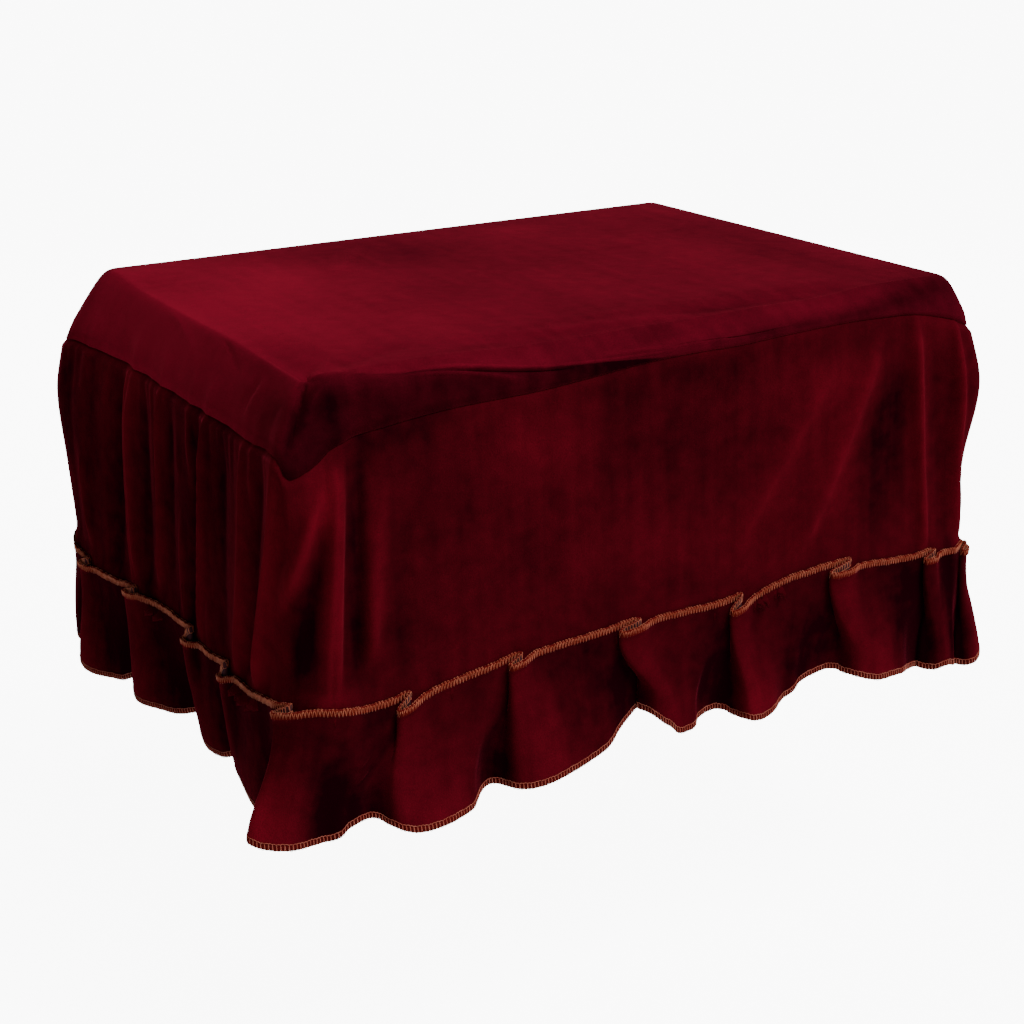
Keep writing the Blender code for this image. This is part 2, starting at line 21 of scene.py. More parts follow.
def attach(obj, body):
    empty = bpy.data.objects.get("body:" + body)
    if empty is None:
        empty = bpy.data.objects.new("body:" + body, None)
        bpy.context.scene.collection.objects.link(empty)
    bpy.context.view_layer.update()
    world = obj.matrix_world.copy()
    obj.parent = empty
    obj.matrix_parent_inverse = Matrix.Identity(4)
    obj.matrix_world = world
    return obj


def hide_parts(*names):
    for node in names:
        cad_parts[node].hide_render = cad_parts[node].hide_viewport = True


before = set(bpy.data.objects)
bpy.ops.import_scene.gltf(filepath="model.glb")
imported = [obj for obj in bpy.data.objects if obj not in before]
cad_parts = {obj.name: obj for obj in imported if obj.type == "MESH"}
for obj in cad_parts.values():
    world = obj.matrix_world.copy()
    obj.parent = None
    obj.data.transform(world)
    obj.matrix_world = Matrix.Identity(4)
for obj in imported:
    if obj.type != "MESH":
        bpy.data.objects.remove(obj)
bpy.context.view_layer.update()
print("packed pieces:", sorted(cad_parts))

# %% [markdown]
# ## The camera
#
# The camera comes first, because it says which sides need the most care. It stands off the front left
# corner, looks down by 20 degrees and is one degree out of level. Its place was worked out from the four
# corners of the seat, so that picture and model can be compared.

# %% Make the camera
def add_object(name, data):
    made = bpy.data.objects.new(name, data)
    bpy.context.scene.collection.objects.link(made)
    return made


CAMERA_PLACE = (-0.6319, -1.0991, 0.274)
CAMERA_DOWN = 0.3509
CAMERA_TURN = -0.5182
CAMERA_ROLL = -0.0176
CAMERA_LENS = 60.47

camera_data = bpy.data.cameras.new("camera")
camera_data.lens = CAMERA_LENS
camera_data.sensor_width = 36
camera = add_object("camera", camera_data)
camera.location = CAMERA_PLACE
aim = Matrix.Rotation(CAMERA_TURN, 3, "Z") @ Matrix.Rotation(math.pi / 2 - CAMERA_DOWN, 3, "X")
camera.rotation_euler = (aim @ Matrix.Rotation(CAMERA_ROLL, 3, "Z")).to_euler()
bpy.context.scene.camera = camera
print("camera", [round(x, 3) for x in camera.location])

# %% [markdown]
# ## The measures
#
# Everything is measured in millimetres round the seat. A place is a distance round the cover, counted from
# the back left corner down the left side, then along the front, the right side and the back. An outset is
# how far something lies out from the seat's edge, and a drop is how far it lies below the seat. One
# function turns these three numbers into a point, so no other part of the script has to know about
# corners.

# %% Sizes and the point at a place
MM = 0.001
SEAT_LENGTH = 500.0
SEAT_DEPTH = 368.0
SEAT_CORNER_RADIUS = 6.0
CLOTH = 1.5
THIN_CLOTH = 1.3

PLACE_OUTSET = 27.0
SIDE = SEAT_DEPTH + 2 * PLACE_OUTSET
FRONT = SEAT_LENGTH + 2 * PLACE_OUTSET
AROUND = 2 * (SIDE + FRONT)
CORNERS = np.array((0.0, SIDE, SIDE + FRONT, 2 * SIDE + FRONT))
CORNER_REACH = PLACE_OUTSET + SEAT_CORNER_RADIUS
CORNER_SIGNS = np.array(((-1, 1), (-1, -1), (1, -1), (1, 1)))
STRAIGHT_X = SEAT_LENGTH / 2 - SEAT_CORNER_RADIUS
STRAIGHT_Y = SEAT_DEPTH / 2 - SEAT_CORNER_RADIUS


def spot(place, outset, drop):
    """The points at places, outsets and drops, in metres."""
    place = (np.asarray(place) + CORNER_REACH) % AROUND - CORNER_REACH
    side = np.searchsorted(CORNERS - CORNER_REACH, place, side="right") - 1
    run = place - CORNERS[side]
    turn = np.radians(90 * side - 45 * (1 - np.minimum(run / CORNER_REACH, 1.0)))
    straight = np.maximum(run - CORNER_REACH, 0.0)
    arc_x = CORNER_SIGNS[side, 0] * STRAIGHT_X
    arc_y = CORNER_SIGNS[side, 1] * STRAIGHT_Y
    out = SEAT_CORNER_RADIUS + outset
    x = arc_x - np.cos(turn) * out + np.sin(turn) * straight
    y = arc_y - np.sin(turn) * out - np.cos(turn) * straight
    return np.stack((x, y, -drop + 0 * x), axis=-1) * MM


print("round the cover:", AROUND, "mm")

# %% [markdown]
# ## Smooth curves through a few numbers
#
# A draped cloth is uneven, but never abrupt. A short table of measured numbers, joined by a curve with
# matching slopes at each knot, gives just that: each row of the table can be checked against the real
# cover, and the curve fills in between. Numpy works on all the points of a sheet at once, which is what
# keeps a script like this one fast.

# %% Curves
def ease(x):
    """0 to 1 with a soft start and a soft end."""
    x = np.clip(x, 0.0, 1.0)
    return x * x * (3 - 2 * x)


def mix(a, b, share):
    return a + (b - a) * share


def between(place, other):
    """The distance from another place to this one, the short way round."""
    return (place - other + AROUND / 2) % AROUND - AROUND / 2


def smooth_step(u, start, start_slope, end, end_slope):
    """A share u of the way from start to end, on a curve that has the given slopes at both."""
    return (
        (2 * u**3 - 3 * u**2 + 1) * start
        + (u**3 - 2 * u**2 + u) * start_slope
        + (3 * u**2 - 2 * u**3) * end
        + (u**3 - u**2) * end_slope
    )


def knot_curve(knots_x, knots_y, x):
    """A smooth curve through knots. knots_y has one column of knots for each x, or one for all."""
    knots_x = np.asarray(knots_x, float)
    knots_y = np.asarray(knots_y, float)
    x = np.asarray(x, float)
    if knots_y.ndim == 1:
        knots_y = np.broadcast_to(knots_y[:, None], (len(knots_y), x.size))
    last = len(knots_x) - 1
    before = np.maximum(np.arange(last + 1) - 1, 0)
    after = np.minimum(np.arange(last + 1) + 1, last)
    slopes = (knots_y[after] - knots_y[before]) / (knots_x[after] - knots_x[before])[:, None]
    flat = x.ravel()
    i = np.clip(np.searchsorted(knots_x, flat, side="right") - 1, 0, last - 1)
    each = np.arange(flat.size)
    width = knots_x[i + 1] - knots_x[i]
    u = (flat - knots_x[i]) / width
    start, end = knots_y[i, each], knots_y[i + 1, each]
    curve = smooth_step(u, start, width * slopes[i, each], end, width * slopes[i + 1, each])
    return curve.reshape(x.shape)


print("halfway up a soft step:", ease(0.5))

# %% [markdown]
# ## The wall of the skirt
#
# The cover is a little too big for its stool, so it bulges at the corners, falls straight in front, and
# hangs lower on the left than on the right. Each row below is one vertical section of the wall: how far
# out it stands at four heights, and how deep its two seams lie there.

# %% Sections round the cover
def table(columns, *rows):
    """Rows of numbers, with a name for each column."""
    row_type = collections.namedtuple("Row", columns)
    return [row_type(*row) for row in rows]


# rim, high, mid and low: outsets of the wall at four levels from the rim seam to the ruffle seam.
# rim_drop and seam_drop: how far down those two seams lie there. bend_out and bend_drop: where the top
# panel bends over on its way from the seat's edge to the rim seam. crease: how sharply it bends there.
# sag: how far the top has sunk at the seat's edge.
LEVELS = {"rim": 0.0, "high": 0.25, "mid": 0.6, "low": 1.0}
SECTIONS = table(
    "place rim high mid low rim_drop seam_drop bend_out bend_drop crease sag",
    (0, 46, 55, 51, 47, 54, 213, 9, 1, 2.2, 0),
    (28, 40, 49, 50, 48, 50, 218, 7, 1, 2.2, 0),
    (60, 33, 42, 46, 48, 50, 222, 7, 1, 2.2, 0),
    (102, 27, 33, 38, 43, 50, 220, 6, 1, 2.2, 2),
    (150, 26, 30, 33, 38, 49, 216, 6, 1, 2.2, 2),
    (203, 26, 28, 30, 32, 48, 214, 5, 1, 2.2, 2),
    (282, 25, 27, 29, 30, 47, 218, 4, 1, 2.2, 1),
    (352, 25, 27, 29, 30, 46, 213, 3, 1, 2.2, 3),
    (396, 29, 29, 31, 32, 42, 205, 3, 1, 2.2, 4),
    (412, 35, 33, 33, 34, 41, 203, 3, 1, 2.2, 4),
    (416, 37, 34, 34, 35, 45, 202, 4, 1, 2.2, 4),
    (420, 38, 36, 36, 36, 53, 202, 5, 2, 2.2, 4),
    (430, 31, 33, 33, 34, 51, 202, 6, 2, 2.2, 4),
    (443, 23, 29, 30, 31, 46, 203, 9, 3, 2.2, 3),
    (462, 18, 25, 28, 30, 39, 208, 15, 4, 2.6, 1),
    (486, 18, 23, 27, 30, 34, 211, 18, 5, 4, 0),
    (536, 18.5, 23, 26, 29, 29, 205, 18.5, 5, 5, 0),
    (603, 20, 23, 26, 29, 27, 200, 19.5, 14, 5, 3),
    (682, 20, 23, 26, 29, 21, 199, 18.5, 17, 4, 3),
    (722, 20, 23, 26, 29, 20, 200, 18.5, 16, 4, 3),
    (754, 21, 24, 26, 29, 20, 203, 19.5, 16, 4, 3),
    (802, 21, 24, 26, 29, 18, 194, 19.5, 14, 3.5, 3),
    (846, 21, 24, 26, 29, 17, 196, 19.5, 13, 3, 3),
    (880, 21, 24, 25, 29, 18, 200, 18, 11, 2.8, 0),
    (912, 22, 24, 25, 29, 20, 203, 15, 8, 2.5, 0),
    (950, 23, 27, 25, 29, 29, 205, 9, 2, 2.2, 0),
    (976, 28, 38, 30, 29, 36, 207, 9, 1, 2.2, 0),
    (1006, 25, 31, 27, 29, 39, 207, 6, 1, 2.2, 0),
    (1080, 25, 28, 28, 30, 40, 207, 6, 1, 2.2, 0),
    (1190, 25, 27, 29, 31, 38, 208, 6, 1, 2.2, 0),
    (1300, 25, 28, 30, 31, 42, 209, 6, 1, 2.2, 0),
    (1368, 28, 31, 32, 33, 46, 210, 6, 1, 2.2, 0),
    (1398, 37, 42, 38, 38, 50, 210, 8, 1, 2.2, 0),
    (1430, 27, 31, 31, 32, 42, 209, 8, 2, 2.2, 0),
    (1530, 23, 25, 27, 30, 27, 206, 11, 5, 2.6, 0),
    (1676, 23, 24, 27, 30, 22, 204, 13, 7, 3, 0),
    (1810, 24, 26, 29, 32, 29, 207, 11, 5, 2.6, 0),
    (1890, 29, 35, 38, 39, 41, 210, 8, 2, 2.2, 0),
)


def section(column, place):
    """A column of the sections, smoothly between their places all the way round."""
    turns = (-AROUND, 0.0, AROUND)
    places = [s.place + turn for turn in turns for s in SECTIONS]
    values = [getattr(s, column) for turn in turns for s in SECTIONS]
    return knot_curve(places, values, np.asarray(place) % AROUND)


print("sections of the wall:", len(SECTIONS))

# %% [markdown]
# ## The folds
#
# The skirt is cut wider than the rim that it is sewn to, so it falls in soft gathers. Each gather is one
# ridge with a bell-shaped cross-section that runs from a place at the rim seam to a place at the ruffle
# seam. Wide and narrow folds, ridges and troughs are all rows of one table, so each can be moved until it
# lies where it does on the real cover.

# %% Folds of the skirt
# top and low: the place of the fold at the rim seam and at the ruffle seam. bow: how far it is bowed aside
# halfway. start and end: the levels between which it shows. width: half its breadth. top_height and
# low_height: how far it stands out, or how deep a trough it is where the height is negative.
FOLD_COLUMNS = "top low bow start end width top_height low_height"
FOLDS = table(
    FOLD_COLUMNS,
    (32, 34, 0, 0, 1, 15, -4, -3),
    (58, 58, 0, 0, 0.25, 6, 2.5, 2),
    (40, 68, 0, 0.4, 0.95, 7, 3, 4),
    (92, 90, 0, 0, 1, 12, 2, 1),
    (119, 115, 0, 0, 1, 10, -3, -2.5),
    (142, 150, -8, 0, 1, 8, 5.5, 4.5),
    (166, 166, 0, 0, 1, 9, -3, -2.5),
    (199, 180, 6, 0, 0.97, 7, 4, 3.5),
    (219, 206, 0, 0, 0.9, 8, -2.5, -1.5),
    (230, 232, 0, 0.1, 0.4, 5, 2, 2),
    (236, 227, 0, 0.45, 1, 6, 2, 3),
    (254, 254, 0, 0, 0.35, 5, 3, 2),
    (269, 243, 0, 0, 1, 8, -3, -2.5),
    (284, 257, 4, 0, 1, 6, 4, 3.5),
    (310, 268, 0, 0.65, 1, 6, 1, 2.5),
    (316, 296, 0, 0, 1, 12, -3, -2.5),
    (352, 322, 8, 0, 1, 12, 3, 4.5),
    (367, 366, 0, 0, 0.3, 5, 3, 2),
    (385, 342, 0, 0, 1, 10, -3, -3.5),
    (412, 360, 8, 0, 1, 11, 3.5, 7),
    (447, 384, 0, 0.1, 0.6, 6, 4, 5),
    (455, 408, 0, 0.15, 0.9, 9, -4, -5),
    (462, 443, -3, 0, 1, 5, 4, 6),
    (475, 458, 0, 0, 0.95, 8, -4.5, -3.5),
    (490, 464, 0, 0.1, 0.9, 7, 2, 5),
    (506, 488, 0, 0.2, 0.9, 12, -1.5, -1.5),
    (857, 718, 0, 0.08, 0.8, 20, 3, 3),
    (880, 795, 5, 0.03, 0.97, 15, 4, 3),
    (905, 880, 0, 0.1, 0.95, 16, -2.5, -2),
    (909, 926, 0, 0, 1, 6, 4, 3.5),
    (926, 948, 0, 0.05, 1, 9, -2, -2),
    (949, 965, 0, 0, 1, 7, 4, 4),
    (1016, 1020, 0, 0, 1, 12, -3.5, -3),
    (1044, 1040, 0, 0, 1, 11, 4, 3),
    (1098, 1090, 0, 0, 1, 12, 3, 4),
    (1123, 1118, 0, 0, 1, 12, -2.5, -2.5),
    (1151, 1148, 0, 0, 1, 10, 4, 3),
    (1205, 1214, 0, 0, 1, 11, 3, 3.5),
    (1262, 1266, 0, 0, 1, 10, 4.5, 3),
    (1287, 1290, 0, 0, 1, 12, -3, -2),
    (1318, 1322, 0, 0, 1, 9, 3.5, 3),
    (1372, 1378, 0, 0, 1, 11, -3.5, -3),
    (1424, 1420, 0, 0, 1, 10, -3.5, -3),
    (1446, 1440, 0, 0, 1, 9, 4.5, 3.5),
    (1500, 1510, 0, 0, 1, 13, 2, 3),
    (1640, 1600, 0, 0.1, 1, 24, 2.5, 3.5),
    (1756, 1790, 0, 0.1, 1, 22, 2, 3.5),
    (1862, 1856, 0, 0, 1, 11, 3.5, 3),
    (1888, 1884, 0, 0, 1, 11, -3, -2.5),
    (1912, 1910, 0, 0, 1, 10, 4, 3),
)
FOLD_AT_RIM = 0.35
FOLD_AT_RUFFLE = 0.4
FOLD_FADE = 0.2
FOLD_POWER = 1.7
FOLD_FACTOR = 1.2


def course(fold, level):
    """The place of a fold's crest at a level."""
    return mix(fold.top, fold.low, level) + 4 * fold.bow * level * (1 - level)


def fold_height(folds, place, level):
    """How far a table's folds stand out of the wall there."""
    total = np.zeros(np.shape(place))
    for fold in folds:
        away = between(place, course(fold, level))
        shows = 1.0
        if fold.start > 0:
            shows = shows * ease((level - fold.start) / FOLD_FADE)
        if fold.end < 1:
            shows = shows * ease((fold.end - level) / FOLD_FADE)
        height = mix(fold.top_height, fold.low_height, level)
        total += shows * height * np.exp(-FOLD_FACTOR * np.abs(away / fold.width) ** FOLD_POWER)
    at_rim = mix(FOLD_AT_RIM, 1.0, ease(level / FOLD_FADE))
    at_ruffle = mix(1.0, FOLD_AT_RUFFLE, ease((level - 1) / FOLD_FADE + 1))
    return total * at_rim * at_ruffle


print("folds:", len(FOLDS))

# %% [markdown]
# Where the cloth is pinched, a ridge is sharp and falls off faster on one side than on the other. These
# creases lie on the crests of some of the folds above.

# %% Creases of the skirt
# left and right: how far the crease reaches to its two sides. The other columns are those of a fold.
CREASES = table(
    "top low bow start end left right top_height low_height",
    (134, 142, -8, 0, 1, 4, 3, 2.5, 2),
    (199, 180, 6, 0, 0.9, 4, 2.5, 1.5, 1.5),
    (284, 257, 4, 0, 1, 4, 2.5, 2, 2),
    (352, 322, 8, 0, 1, 5, 3, 1.5, 1.5),
    (412, 360, 8, 0, 1, 5, 3, 1.5, 2.5),
    (447, 384, 0, 0.1, 0.6, 6, 3, 3.5, 3),
    (457, 437, -2, 0.02, 0.97, 9, 2.2, 3.5, 5),
    (477, 466, 0, 0.12, 0.8, 2.6, 5, 2.5, 4),
    (464, 447, 0, 0.03, 0.9, 2, 4, -1.5, -2),
    (857, 718, 0, 0.1, 0.75, 7, 5, 1.2, 1),
    (880, 795, 5, 0.05, 0.9, 6, 5, 1.6, 1.2),
    (909, 926, 0, 0, 1, 4, 2.5, 2, 2),
    (949, 965, 0, 0, 1, 4, 2.5, 2, 2),
    (1151, 1148, 0, 0, 1, 4, 3, 1.5, 1),
    (1318, 1322, 0, 0, 1, 3, 4, 1.5, 1),
    (1446, 1440, 0, 0, 1, 3, 4, 2, 1.5),
    (1862, 1856, 0, 0, 1, 4, 3, 1.5, 1),
)
CREASE_FADE = 0.12
CREASE_AT_END = 0.2


def fade_in(distance):
    """How much of a crease shows at a distance in levels from its end."""
    return ease(distance / CREASE_FADE + CREASE_AT_END)


def crease_height(place, level):
    total = np.zeros(np.shape(place))
    for crease in CREASES:
        away = between(place, course(crease, level))
        reach = np.where(away < 0, crease.left, crease.right)
        shows = fade_in(level - crease.start) * fade_in(crease.end - level)
        total += shows * mix(crease.top_height, crease.low_height, level) * np.exp(-((away / reach) ** 2))
    return total


print("creases:", len(CREASES))

# %% [markdown]
# The wall itself is then two functions: how far out a point lies, and how far down. Both seams pull the
# cloth in, and the gathers start as small puckers just under the rim seam, where the needle caught a bit
# too much cloth each time. The ruffle's stiff header holds the skirt out to an even line at the lower seam.

# %% The wall
PUCKER_PITCH = 11.0
PUCKER_HEIGHT = 0.5
PUCKER_REACH = 0.16
PUCKER_STARTS = 0.03
PUCKER_ON_LONG_SIDE = 0.12
PUCKER_WANDER = ((2.3, 37.0, 0.0), (1.7, 17.3, 1.0))
PUCKER_MEAN = 0.55
PUCKER_UNEVEN = ((0.45, 23.0, 0.6),)
SEAM_GAP = 0.3
SEAM_TUCK = 2.4
SEAM_TUCK_REACH = 0.028
LONG_SIDE_TUCK = 0.3
SKIRT_CHECKS = (-12.0, -6.0, 0.0, 6.0, 12.0)
SKIRT_CHECK_LEVELS = (0.93, 1.0)
EVEN_FROM = 0.9
EVEN_OVER = 0.09
SHORT_SIDE_FADE = 90
CORNER_CLEARANCE = 1.9
CORNER_CLEARANCE_REACH = 1.6


def wall(place, level):
    """The outset and drop of the skirt's inner face. Level 0 is the rim seam and 1 the ruffle seam."""
    inside = np.minimum(level, 1.0)
    knots = np.array([section(column, place).ravel() for column in LEVELS])
    outset = knot_curve(list(LEVELS.values()), knots, inside) - CLOTH
    outset = outset + fold_height(FOLDS, place, inside)
    return outset, mix(section("rim_drop", place), section("seam_drop", place), level)


def skirt_outside(place):
    """The outset at which the ruffle starts, clear of the skirt."""
    near = [
        wall(place + step, np.full(np.shape(place), level))[0]
        for step in SKIRT_CHECKS
        for level in SKIRT_CHECK_LEVELS
    ]
    to_corner = np.min([np.abs(between(place, corner)) for corner in CORNERS], axis=0)
    at_corner = ease(CORNER_CLEARANCE_REACH - to_corner / CORNER_REACH)
    return np.max(near, axis=0) + CLOTH + CORNER_CLEARANCE * at_corner


def on_short_side(place):
    """0 along the front and the back, and 1 on the two short sides."""
    front = np.minimum(np.abs(between(place, SIDE + FRONT / 2)), np.abs(between(place, -FRONT / 2)))
    return ease((front - FRONT / 2) / SHORT_SIDE_FADE + 1)


def seam_tuck(place):
    return SEAM_TUCK * mix(LONG_SIDE_TUCK, 1.0, on_short_side(place))


def waves(x, rows):
    """A sum of sine waves. Each row is an amount, a length over two pi, and a start."""
    return sum(amount * np.sin(x / length + start) for amount, length, start in rows)


def pucker(place, level):
    """Small gathers right under the rim seam, stronger on the short sides, uneven in spacing."""
    ripple = np.cos(2 * np.pi * (place + waves(place, PUCKER_WANDER)) / PUCKER_PITCH)
    strength = PUCKER_MEAN + waves(place, PUCKER_UNEVEN)
    fade = np.exp(-level / PUCKER_REACH) * ease(level / PUCKER_STARTS)
    return PUCKER_HEIGHT * ripple * strength * fade * mix(PUCKER_ON_LONG_SIDE, 1.0, on_short_side(place))


def fine_wall(place, level):
    """The wall with everything small on it. Each place is worked out once, as many points share it."""
    outset, drop = wall(place, level)
    tuck = seam_tuck(place) * (1 - ease(level / SEAM_TUCK_REACH))
    fine = outset + crease_height(place, np.minimum(level, 1.0)) + pucker(place, level) - tuck
    places, back = np.unique(place, return_inverse=True)
    at_seam = skirt_outside(places)[back].reshape(np.shape(place)) - CLOTH
    return mix(fine, at_seam, ease((level - EVEN_FROM) / EVEN_OVER)), drop


print("outset of the wall in front:", wall(np.array([700.0]), np.array([0.5]))[0].round(1))

# %% [markdown]
# ## A sheet from a grid
#
# Each piece starts as a flat grid from bmesh, one vertex for each crossing, and a function then moves
# every vertex to its place on the draped cloth. The flat grid is also the cloth as it was cut, so its own
# coordinates are kept as the UV map: patterns that follow the weave read them later. A ring of cloth is a
# grid whose first and last columns meet, so these are merged. One more number is kept for each vertex: how
# light the cloth is there. Part of it is which way the pile is brushed, because velvet looks light where it
# lies down and dark where it stands. Part of it is painted light and shade: lighter on lit ridges, and
# darker in hollows and on shaded sides.

# %% The sheet helper
WELD = 0.00002
INSIDE = Vector((0, 0, -0.5))


def grid_shares(bm):
    """How far across and down the grid each vertex lies, from 0 to 1."""
    across = np.array([v.co.x + 0.5 for v in bm.verts])
    down = np.array([0.5 - v.co.y for v in bm.verts])
    return across, down


def grid_line(share, count):
    """Which of a grid's lines lies at a share of its width or height."""
    return np.round(share * count).astype(int)


def make_sheet(name, columns, rows, shape, cut, keep=None, nap_and_shade=None):
    """shape and cut give the place of each vertex, and its place on the flat cloth, from its shares. The
    last argument gives how light the cloth is there, from 0 to 1: the brushing of the pile together with
    painted light and shade."""
    bm = bmesh.new()
    bmesh.ops.create_grid(bm, x_segments=columns, y_segments=rows, size=0.5)
    if keep:
        spare = [f for f in bm.faces if not keep(f.calc_center_median())]
        bmesh.ops.delete(bm, geom=spare, context="FACES")
    across, down = grid_shares(bm)
    flat_cloth = cut(across, down)
    uv = bm.loops.layers.uv.new("cloth")
    bm.verts.index_update()
    for face in bm.faces:
        for loop in face.loops:
            loop[uv].uv = flat_cloth[loop.vert.index]
    if nap_and_shade:
        layer = bm.verts.layers.float.new("nap_and_shade")
        for v, value in zip(bm.verts, nap_and_shade(across, down)):
            v[layer] = value
    for v, point in zip(bm.verts, shape(across, down)):
        v.co = point
    bmesh.ops.remove_doubles(bm, verts=bm.verts, dist=WELD)
    bmesh.ops.recalc_face_normals(bm, faces=bm.faces)
    looks = sum(f.normal.dot(f.calc_center_median() - INSIDE) * f.calc_area() for f in bm.faces)
    if looks < 0:
        bmesh.ops.reverse_faces(bm, faces=bm.faces)
    mesh = bpy.data.meshes.new(name)
    bm.to_mesh(mesh)
    bm.free()
    mesh.shade_smooth()
    print(name, "faces:", len(mesh.polygons))
    return add_object(name, mesh)


# %% [markdown]
# The bend over the seat's edge gets folds of its own, in a table of the same form: the ridge that runs down
# the corner, the hollow beside it, and the flat creases that pull across the flaps.

# %% Folds of the flaps
FLAP_FOLDS = table(
    FOLD_COLUMNS,
    (462, 419, 0, 0, 1, 5, 2.5, 4.5),
    (432, 414, 0, 0.1, 1, 6, -2, -3),
    (365, 333, 0, 0.55, 1, 4, -2, -2.5),
    (373, 341, 0, 0.5, 1, 4, 1.5, 1.5),
    (486, 466, 0, 0.2, 1, 9, -1.5, -2),
)
FLAP_FADE = 0.15


def flap_fold(place, along):
    """How far the folds stand out of the flap. They fade out at the seat's edge and at the rim seam."""
    fades = ease(along / FLAP_FADE) * ease((1 - along) / FLAP_FADE)
    return fold_height(FLAP_FOLDS, place, along) * fades


print("folds of the flaps:", len(FLAP_FOLDS))

# %% [markdown]
# ## The top panel
#
# The top panel is cut as a rectangle with a square out of each corner. Its middle lies on the seat, and
# its four flaps are bent down over the edge and sewn together at the corners. The grid is cut in the same
# way: the four corner squares are deleted, and the edges of neighbouring flaps land on the same points, so
# that merging them sews them.

# %% Grid of the top panel
FLAP_ROWS = 24
CORNER_COLUMNS = 9
MIDDLE_STEP = 4.0


def middle_lines(straight):
    """Distances from the middle of the seat to the grid's lines: even, then close in the corners."""
    count = round(2 * straight / MIDDLE_STEP)
    corner = straight + SEAT_CORNER_RADIUS * np.arange(1, CORNER_COLUMNS + 1) / CORNER_COLUMNS
    return np.concatenate((-corner[::-1], np.linspace(-straight, straight, count + 1), corner))


lines_x = middle_lines(STRAIGHT_X)
lines_y = middle_lines(STRAIGHT_Y)
panel_columns = len(lines_x) - 1 + 2 * FLAP_ROWS
panel_rows = len(lines_y) - 1 + 2 * FLAP_ROWS


def panel_lines(across, down):
    """The seat coordinates of each vertex, and how many rows out on a flap it lies."""
    i = grid_line(across, panel_columns) - FLAP_ROWS
    j = grid_line(down, panel_rows) - FLAP_ROWS
    x = lines_x[np.clip(i, 0, len(lines_x) - 1)]
    y = -lines_y[np.clip(j, 0, len(lines_y) - 1)]
    out_x = np.maximum(-i, i - len(lines_x) + 1)
    out_y = np.maximum(-j, j - len(lines_y) + 1)
    return x, y, np.maximum(out_x, 0), np.maximum(out_y, 0), i < 0, j < 0


def not_in_corner(centre):
    across = (centre.x + 0.5) * panel_columns
    down = (0.5 - centre.y) * panel_rows
    beside = across < FLAP_ROWS or across > panel_columns - FLAP_ROWS
    beyond = down < FLAP_ROWS or down > panel_rows - FLAP_ROWS
    return not (beside and beyond)


print("grid of the panel:", panel_columns, "by", panel_rows)

# %% [markdown]
# The flat grid has square corners and the seat has round ones, so the small squares in its corners are
# moved onto quarter circles. Every point of the seat's edge also has a place round the cover, where its flap
# begins. The top lies a little lower near the edge, where the seat's padding gives way.

# %% Points on the seat
SAG_WIDTH = 38.0
TINY = 1e-9


def round_corners(x, y):
    """Moves the square corners of the flat middle onto the seat's round ones."""
    u = np.maximum(np.abs(x) - STRAIGHT_X, 0) / SEAT_CORNER_RADIUS
    v = np.maximum(np.abs(y) - STRAIGHT_Y, 0) / SEAT_CORNER_RADIUS
    reach = np.maximum(u, v)
    turn = np.where(u >= v, v, 2 * reach - u) / np.maximum(reach, TINY) * np.pi / 4
    in_corner = (u > 0) & (v > 0)
    new_x = STRAIGHT_X + SEAT_CORNER_RADIUS * reach * np.cos(turn)
    new_y = STRAIGHT_Y + SEAT_CORNER_RADIUS * reach * np.sin(turn)
    return np.where(in_corner, np.sign(x) * new_x, x), np.where(in_corner, np.sign(y) * new_y, y)


def edge_place(x, y, side):
    """The place that belongs to a point on the seat's edge, on side 0 left, 1 front, 2 right or 3 back."""
    run = np.choose(side, (-y, x, y, -x))
    straight = np.where(side % 2 == 0, STRAIGHT_Y, STRAIGHT_X)
    past = np.maximum(np.abs(run) - straight, 0) / SEAT_CORNER_RADIUS * CORNER_REACH
    along = np.sign(run) * (np.minimum(np.abs(run), straight) + past)
    return CORNERS[side] + (straight + CORNER_REACH) + along


def sunk(x, y):
    """How far the top has sunk below the seat near its edge."""
    inset_x = SEAT_LENGTH / 2 - np.abs(x)
    inset_y = SEAT_DEPTH / 2 - np.abs(y)
    side = np.where(inset_x < inset_y, np.where(x < 0, 0, 2), np.where(y > 0, 3, 1))
    inset = np.minimum(inset_x, inset_y)
    return section("sag", edge_place(x, y, side)) * ease(1 - inset / SAG_WIDTH)


print("place of the middle of the front:", float(edge_place(0.0, -SEAT_DEPTH / 2, 1)))

# %% [markdown]
# A flap leaves the seat's edge, bends over and ends at the rim seam. A curve through three points draws
# that: its two ends are fixed, and the one between them pulls it with a weight. That weight is the column
# crease of the sections, so one number makes the bend soft or sharp.

# %% Course of a flap
def flap(place, along):
    """The outset and drop from the seat's edge (0) to the rim seam (1)."""
    outset, drop = wall(place, np.zeros(np.shape(place)))
    start = (1 - along) ** 2
    pull = 2 * section("crease", place) * along * (1 - along)
    end = along * along
    whole = start + pull + end
    out = (pull * section("bend_out", place) + end * outset) / whole
    down = (start * section("sag", place) + pull * section("bend_drop", place) + end * drop) / whole
    return out + flap_fold(place, along), down


halfway = flap(np.array([700.0]), np.array([0.5]))
print("out and down halfway along the front flap:", np.round(halfway, 1).ravel().tolist())

# %% [markdown]
# The cover is pulled into place by hand, which leaves flat wrinkles that run from the corners and along the
# edge. Each one is a straight ridge or groove on the flat cloth that fades at both ends. They are real
# shape, not a bump map, so they also show in the outline and in the shadows.

